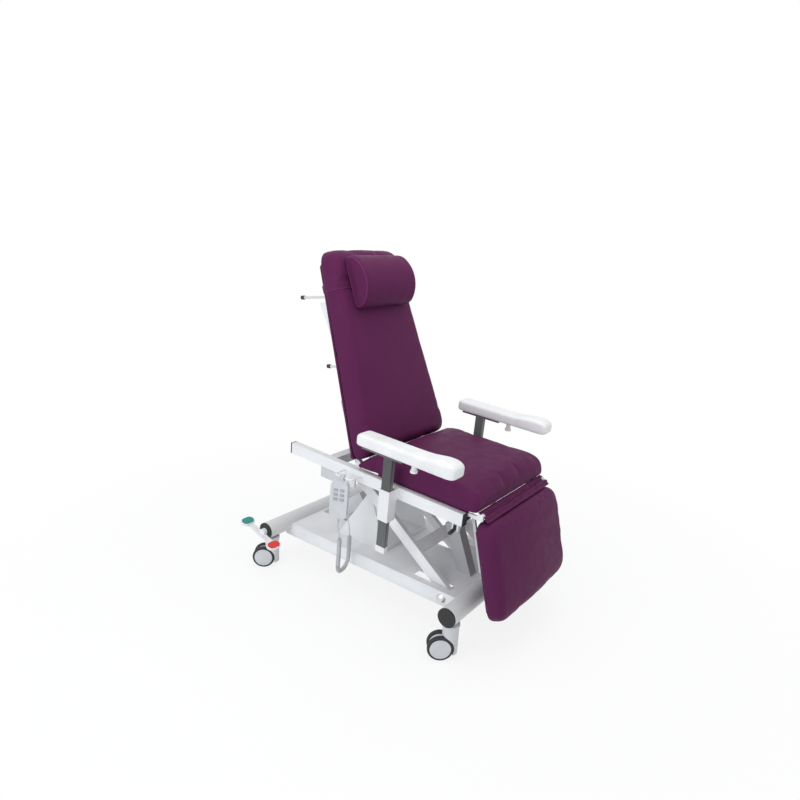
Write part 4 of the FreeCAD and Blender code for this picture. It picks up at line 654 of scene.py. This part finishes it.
def add_cushions():
    cushion("seat_cushion", "seat_pad", "seat_frame", FRAME, lambda p: p[:, 2] - SEAT_BASE,
            voxel=0.006, cap=0.008)
    cushion("leg_cushion", "leg_pad", "leg_rest", LEG, lambda p: LEG_BASE - p[:, 1],
            voxel=0.006, cap=0.007)
    back = cushion("back_cushion", "back_pad", "back_rest", BACK, lambda p: BACK_BASE - p[:, 1],
                   voxel=0.0065, cap=0.008, tie=clear_of_strap)
    pillow = cushion("head_pillow", "pillow", "back_rest", BACK, lambda p: PILLOW_BASE - p[:, 1],
                     voxel=0.004, cap=0.005)
    add_strap(surface(back))
    for side, x in (("near", -PILLOW_HALF), ("far", PILLOW_HALF)):
        add_piping("pillow_%s_seam" % side, surface(pillow), x * PIPING_INSET)


RAY_START = 0.6


def surface(piece):
    """A piece's finished surface, for ray casts."""
    mesh = evaluated(piece)
    corners = [vertex.co.copy() for vertex in mesh.vertices]
    return BVHTree.FromPolygons(corners, [tuple(face.vertices) for face in mesh.polygons])


def outer_hit(tree, place, centre, direction):
    """How far out a surface lies from a local centre along a local direction, or 0."""
    start = place @ (centre + direction * RAY_START)
    hit = tree.ray_cast(start, place.to_3x3() @ -direction)
    return RAY_START - hit[3] if hit[0] else 0.0


# Strap of the head pillow, drawn round the back

STRAP_COLUMNS = 120
# Rows across the strap, from its lower to its upper edge
STRAP_LEVELS = [-1, -0.86, -0.5, 0, 0.5, 0.9, 1]
STRAP_MIDDLE, STRAP_RIM, STRAP_THICK = -0.045, 0.0012, 0.0014
BOARD_HALF, BOARD_REAR = 0.2163, 0.0012


def strap_reach(tree, centre, direction):
    """How far out the strap lies: on the pad, or on the board where that stands further out."""
    board = 0
    if direction.y > 0:
        board = min(BOARD_HALF / max(abs(direction.x), WELD), (BOARD_REAR - centre.y) / direction.y)
    return max(outer_hit(tree, BACK, centre, direction), board)


def add_strap(tree):
    columns = STRAP_COLUMNS
    angles = [2 * math.pi * column / columns for column in range(columns)]
    directions = [Vector((math.cos(angle), math.sin(angle), 0)) for angle in angles]
    points = []
    for level in STRAP_LEVELS:
        centre = Vector((0, STRAP_MIDDLE, STRAP_AT + level * STRAP_HALF))
        reach = [strap_reach(tree, centre, direction) for direction in directions]
        for column, direction in enumerate(directions):
            even = (reach[column - 1] + 2 * reach[column] + reach[(column + 1) % columns]) / 4
            far = max(even, reach[column]) + STRAP_RIM
            points.append(BACK @ (centre + direction * far))
    mesh = mesh_from("strap_band", points, ring_faces(len(STRAP_LEVELS), columns))
    smooth(mesh)
    strap = add_object("strap_band", mesh, "back_rest", "vinyl")
    strap.data.materials.append(PALE_VINYL)
    for face in mesh.polygons[:columns]:
        face.material_index = 1
    thick = strap.modifiers.new("thick", "SOLIDIFY")
    thick.thickness = STRAP_THICK
    thick.offset = 1
    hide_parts("pillow_strap")


PIPING_MIDDLE, PIPING_RADIUS, PIPING_POINTS = -0.136, 0.0017, 72


def add_piping(name, tree, x):
    """A cord sewn round one end of the pillow."""
    centre = Vector((x, PIPING_MIDDLE, STRAP_AT))
    curve = bpy.data.curves.new(name, "CURVE")
    curve.dimensions = "3D"
    curve.bevel_depth = PIPING_RADIUS
    curve.bevel_resolution = 2
    spline = curve.splines.new("NURBS")
    spline.points.add(PIPING_POINTS - 1)
    for index, point in enumerate(spline.points):
        angle = 2 * math.pi * index / PIPING_POINTS
        direction = Vector((0, math.cos(angle), math.sin(angle)))
        place = BACK @ (centre + direction * outer_hit(tree, BACK, centre, direction))
        point.co = (*place, 1)
    spline.use_cyclic_u = True
    helper = bpy.data.objects.new(name + "_line", curve)
    scene.collection.objects.link(helper)
    mesh = evaluated(helper)
    bpy.data.objects.remove(helper)
    smooth(mesh)
    piping = add_object(name, mesh, "back_rest", "vinyl")
    piping.data.materials.clear()
    piping.data.materials.append(PALE_VINYL)


# Gathered vinyl flap that bridges the seat and the leg rest

FLAP_TOP = Vector((0, -0.457, 0.603))
FLAP_END = Vector((0, -0.5048, 0.5788))
FLAP_HALF = 0.25
FLAP_COLUMNS, FLAP_ROWS = 80, 30
FLAP_FOLDS, FLAP_LIFT, FOLD_DEPTH = 2, 0.003, 0.0048


def flap_rise(x, t):
    """How far the flap stands off the straight line from its top, t = 0, to its end, t = 1."""
    waver = 0.05 * math.sin(17 * x) + 0.04 * math.sin(41 * x + 1)
    fold = math.sin(2 * math.pi * (FLAP_FOLDS * t + waver))
    crease = 0.0012 * math.sin(53 * x + 7 * t) + 0.0009 * math.sin(97 * x - 4 * t)
    return math.sin(math.pi * t) * (FLAP_LIFT + FOLD_DEPTH * fold + crease)


def add_flap():
    columns, rows = FLAP_COLUMNS, FLAP_ROWS
    along = FLAP_END - FLAP_TOP
    out = Vector((0, along.z, -along.y)).normalized()
    points, faces = [], []
    for column in range(columns + 1):
        x = FLAP_HALF * (2 * column / columns - 1)
        for row in range(rows + 1):
            t = row / rows
            points.append(FRAME @ (FLAP_TOP + along * t + out * flap_rise(x, t) + Vector((x, 0, 0))))
    for column in range(columns):
        for row in range(rows):
            first = column * (rows + 1) + row
            faces.append((first, first + rows + 1, first + rows + 2, first + 1))
    mesh = mesh_from("leg_flap", points, faces)
    smooth(mesh)
    flap = add_object("leg_flap", mesh, None, "vinyl")
    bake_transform(flap)


# Caster wheels: a black tyre round a pale domed disc

# Half sections as (distance from the middle, radius)
WHEEL_TYRE = [(0.0100, 0.0400), (0.0094, 0.0440), (0.0100, 0.0475), (0.0122, 0.0494), (0.0150, 0.0500),
              (0.0230, 0.0500), (0.0262, 0.0490), (0.0284, 0.0465), (0.0290, 0.0435), (0.0284, 0.0405)]
WHEEL_DISC = [(0.0112, 0.0062), (0.0112, 0.0404), (0.0280, 0.0404), (0.0292, 0.0396), (0.0294, 0.0380),
              (0.0290, 0.0370), (0.0296, 0.0350), (0.0301, 0.0200), (0.0302, 0.0062)]
WHEEL_SHARP = 40
# How far the casters are swivelled, in degrees
CASTER_TURN = {"near": 38, "far": 24}


def turned_mesh(name, outline, mirrored, closed, sides=72):
    """Turns (x, radius) points about an axis along X. An open outline gets flat ends."""
    points, faces = [], []
    count = len(outline)
    for side in range(sides):
        angle = 2 * math.pi * side / sides
        for x, radius in outline:
            points.append((mirrored * x, radius * math.cos(angle), radius * math.sin(angle)))
    for side in range(sides):
        after = (side + 1) % sides
        for index in range(count if closed else count - 1):
            step = (index + 1) % count
            faces.append((side * count + index, side * count + step,
                          after * count + step, after * count + index))
    if not closed:
        faces.append([side * count for side in range(sides)])
        faces.append([side * count + count - 1 for side in range(sides)])
    mesh = mesh_from(name, points, faces)
    face_outwards(mesh)
    smooth(mesh, WHEEL_SHARP)
    return mesh


def add_wheels(corner, turn):
    node = corner + "_caster_wheels"
    low, high = (Vector(point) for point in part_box(node))
    place = Matrix.Translation((low + high) / 2) @ Matrix.Rotation(math.radians(turn), 4, "Z")
    for side, mirrored in (("left", -1), ("right", 1)):
        name = "%s_%s" % (corner, side)
        tyre_mesh = turned_mesh(name + "_tyre", WHEEL_TYRE, mirrored, closed=True)
        disc_mesh = turned_mesh(name + "_disc", WHEEL_DISC, mirrored, closed=False)
        tyre_mesh.transform(place)
        disc_mesh.transform(place)
        tyre = add_object(name + "_tyre", tyre_mesh, corner + "_wheels", "wheel_rubber")
        add_object(name + "_disc", disc_mesh, corner + "_wheels", "grey_plastic")
        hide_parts(node)


# Armrest pads and the end caps of their posts

PAD_X, PAD_HALF, PAD_LOW, PAD_HIGH = 0.349, 0.0395, 0.748, 0.797
PAD_REAR, PAD_FRONT = 0.022, -0.421
BULB_AT, BULB_REACH, BULB_RISE = -0.369, 0.062, 0.011
REAR_ROUND, FRONT_ROUND = 0.022, 0.04
PAD_STATIONS, PAD_AROUND, PAD_SHARP = 72, 48, 50
# Extra half width at the bulb, then shares of width, height and drop left at the pad's tips
BULB_SPREAD, TIP_HALF, TIP_TALL, TIP_DROP = 0.002, 0.55, 0.4, 0.1
NOSE_POWER, SECTION_POWER = 2.6, 0.42
KNOB_Y, KNOB_SIDES = -0.231, 32
KNOB_HOLE = [(0.02, 0.0104), (-0.036, 0.0104)]
POST_X, POST_Y, POST_LOW = 0.3257, -0.099, 0.328
CAP_RISE, CAP_SIZE, CAP_EDGE = 0.006, (0.026, 0.047, 0.026), 0.003


def add_armrest(side, sign):
    stations, around = PAD_STATIONS, PAD_AROUND
    points = []
    for station in range(stations + 1):
        share = (1 - math.cos(math.pi * station / stations)) / 2
        y = PAD_REAR + (PAD_FRONT - PAD_REAR) * share
        bulb = math.exp(-((y - BULB_AT) / BULB_REACH) ** 2)
        ends = min(rounded(PAD_REAR - y, REAR_ROUND), rounded(y - PAD_FRONT, FRONT_ROUND))
        half = (PAD_HALF + BULB_SPREAD * bulb) * (TIP_HALF + (1 - TIP_HALF) * ends)
        high = PAD_HIGH + BULB_RISE * bulb
        tall = (high - PAD_LOW) / 2 * (TIP_TALL + (1 - TIP_TALL) * ends)
        middle = PAD_LOW + (high - PAD_LOW) / 2 * (1 - TIP_DROP * (1 - ends))
        for turn in range(around):
            angle = 2 * math.pi * turn / around
            x = half * squared(math.cos(angle))
            z = tall * squared(math.sin(angle))
            points.append(FRAME @ Vector((sign * PAD_X + x, y, middle + z)))
    faces = ring_faces(stations + 1, around)
    faces.append(list(range(around)))
    faces.append(list(range(stations * around, (stations + 1) * around)))
    form = mesh_from(side + "_arm_form", points, faces)
    face_outwards(form)
    mesh = pocketed(side, form, sign)
    smooth(mesh, PAD_SHARP)
    pad = add_object(side + "_arm_pad", mesh, side + "_armrest", "white_plastic")
    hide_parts(side + "_armrest_pad")
    cap_at = (sign * POST_X, POST_Y, POST_LOW + CAP_RISE)
    cap = block_mesh(side + "_post_cap", cap_at, CAP_SIZE, CAP_EDGE)
    add_object(side + "_post_cap", cap, side + "_armrest", "white_plastic")


def rounded(distance, reach):
    """From 0 at a tip to 1 where the full section starts, as a round nose does."""
    share = 1 - min(max(distance / reach, 0), 1)
    return (1 - share ** NOSE_POWER) ** (1 / NOSE_POWER)


def squared(value):
    """Bends a circle's sine or cosine towards a rounded square."""
    return math.copysign(abs(value) ** SECTION_POWER, value)


def pocketed(side, mesh, sign):
    """Cuts the blind hole that the armrest's knob slides in."""
    pad = bpy.data.objects.new(side + "_arm_form", mesh)
    cutter_mesh = turned_mesh(side + "_knob_hole", KNOB_HOLE, 1, closed=False, sides=KNOB_SIDES)
    upright = Matrix.Rotation(math.radians(-90), 4, "Y")
    cutter_mesh.transform(FRAME @ Matrix.Translation((sign * PAD_X, KNOB_Y, PAD_LOW)) @ upright)
    cutter = bpy.data.objects.new(side + "_knob_hole", cutter_mesh)
    for obj in (pad, cutter):
        scene.collection.objects.link(obj)
    hole = pad.modifiers.new("hole", "BOOLEAN")
    hole.operation = "DIFFERENCE"
    hole.object = cutter
    result = evaluated(pad)
    for obj in (pad, cutter):
        bpy.data.objects.remove(obj)
    return result


def block_mesh(name, centre, size, edge):
    """A block in the upper frame with rounded edges."""
    work = bmesh.new()
    bmesh.ops.create_cube(work, size=1)
    bmesh.ops.scale(work, vec=size, verts=work.verts)
    bmesh.ops.bevel(work, geom=work.edges[:], offset=edge, segments=3, profile=0.5, affect="EDGES")
    mesh = mesh_of(work, name)
    mesh.transform(FRAME @ Matrix.Translation(centre))
    smooth(mesh)
    return mesh


# White seats round the brake pedal's coloured pads

PEDAL_X, PEDAL_REACH = -0.3893, 0.092
SEAT_STRAIGHT, SEAT_ROUND, SEAT_LOW, SEAT_HIGH = 0.010, 0.0235, -0.006, 0.0055
SEAT_POINTS, SEAT_EDGE, SEAT_SHARP = 48, 0.0025, 50


def add_pedal_seats():
    for name, y in (("free_pad_seat", PEDAL_REACH), ("lock_pad_seat", -PEDAL_REACH)):
        work = bmesh.new()
        ring = []
        for index in range(SEAT_POINTS):
            angle = 2 * math.pi * (index + 0.5) / SEAT_POINTS
            shift = math.copysign(SEAT_STRAIGHT, math.cos(angle))
            ring.append(work.verts.new((PEDAL_X + shift + SEAT_ROUND * math.cos(angle),
                                        y + SEAT_ROUND * math.sin(angle), SEAT_LOW)))
        base = work.faces.new(ring)
        raised = bmesh.ops.extrude_face_region(work, geom=[base])
        lifted = [item for item in raised["geom"] if isinstance(item, bmesh.types.BMVert)]
        bmesh.ops.translate(work, vec=(0, 0, SEAT_HIGH - SEAT_LOW), verts=lifted)
        bmesh.ops.recalc_face_normals(work, faces=work.faces)
        rims = [edge for edge in work.edges if abs(edge.verts[0].co.z - edge.verts[1].co.z) < WELD]
        bmesh.ops.bevel(work, geom=rims, offset=SEAT_EDGE, segments=3, profile=0.5, affect="EDGES")
        mesh = mesh_of(work, name)
        mesh.transform(PEDAL)
        smooth(mesh, SEAT_SHARP)
        add_object(name, mesh, "brake", "white_plastic")


# Fine rounded edges on the hard pieces

# Angles in degrees: flat faces to join, creases to keep, edges to round
FLAT_ANGLE, CREASE_ANGLE, ROUND_ANGLE = 1, 32, 35
KEYS = ["key_%s_%s" % (level, side) for level in ("top", "middle", "bottom") for side in ("left", "right")]
# Width of the rounding: the pieces that get it
EDGES = {
    0.0008: ["holder_panel"],
    0.0016: ["chassis_tray", "pedestal_cheeks", "front_stop_post", "near_rail", "far_rail", "cross_members",
             "lift_arms", "near_armrest_post", "far_armrest_post", "brake_pedal", "control_box",
             "rail_end_caps", "level_link"],
    0.003: ["lift_motor", "back_motor", "leg_motor", "handset_shell"],
    0.001: KEYS + ["tube_end_caps", "free_pad", "lock_pad", "release_lever", "near_armrest_knob",
                   "far_armrest_knob"],
}


def soften(node, width):
    work = merged(node)
    bmesh.ops.dissolve_limit(work, angle_limit=math.radians(FLAT_ANGLE), verts=work.verts, edges=work.edges)
    mesh = mesh_of(work, node + "_soft")
    smooth(mesh, CREASE_ANGLE)
    piece = add_object(node + "_soft", mesh, BODIES[node], SLOTS[node])
    edges = piece.modifiers.new("edges", "BEVEL")
    edges.width = width
    edges.segments = 2
    edges.limit_method = "ANGLE"
    edges.angle_limit = math.radians(ROUND_ANGLE)
    edges.harden_normals = True
    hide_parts(node)


# Build the scene

add_camera()
add_floor()
add_world()
for lamp_name, lamp_values in LAMPS.items():
    add_lamp(lamp_name, *lamp_values)
for node_name, slot_name in SLOTS.items():
    dress(nodes[node_name], slot_name)
add_cord()
add_cushions()
add_flap()
for end_name in ("front", "rear"):
    for side_name in ("near", "far"):
        add_wheels("%s_%s" % (end_name, side_name), CASTER_TURN[side_name])
for side_name, side_sign in (("near", -1), ("far", 1)):
    add_armrest(side_name, side_sign)
add_pedal_seats()
for edge_width, softened_nodes in EDGES.items():
    for node_name in softened_nodes:
        soften(node_name, edge_width)
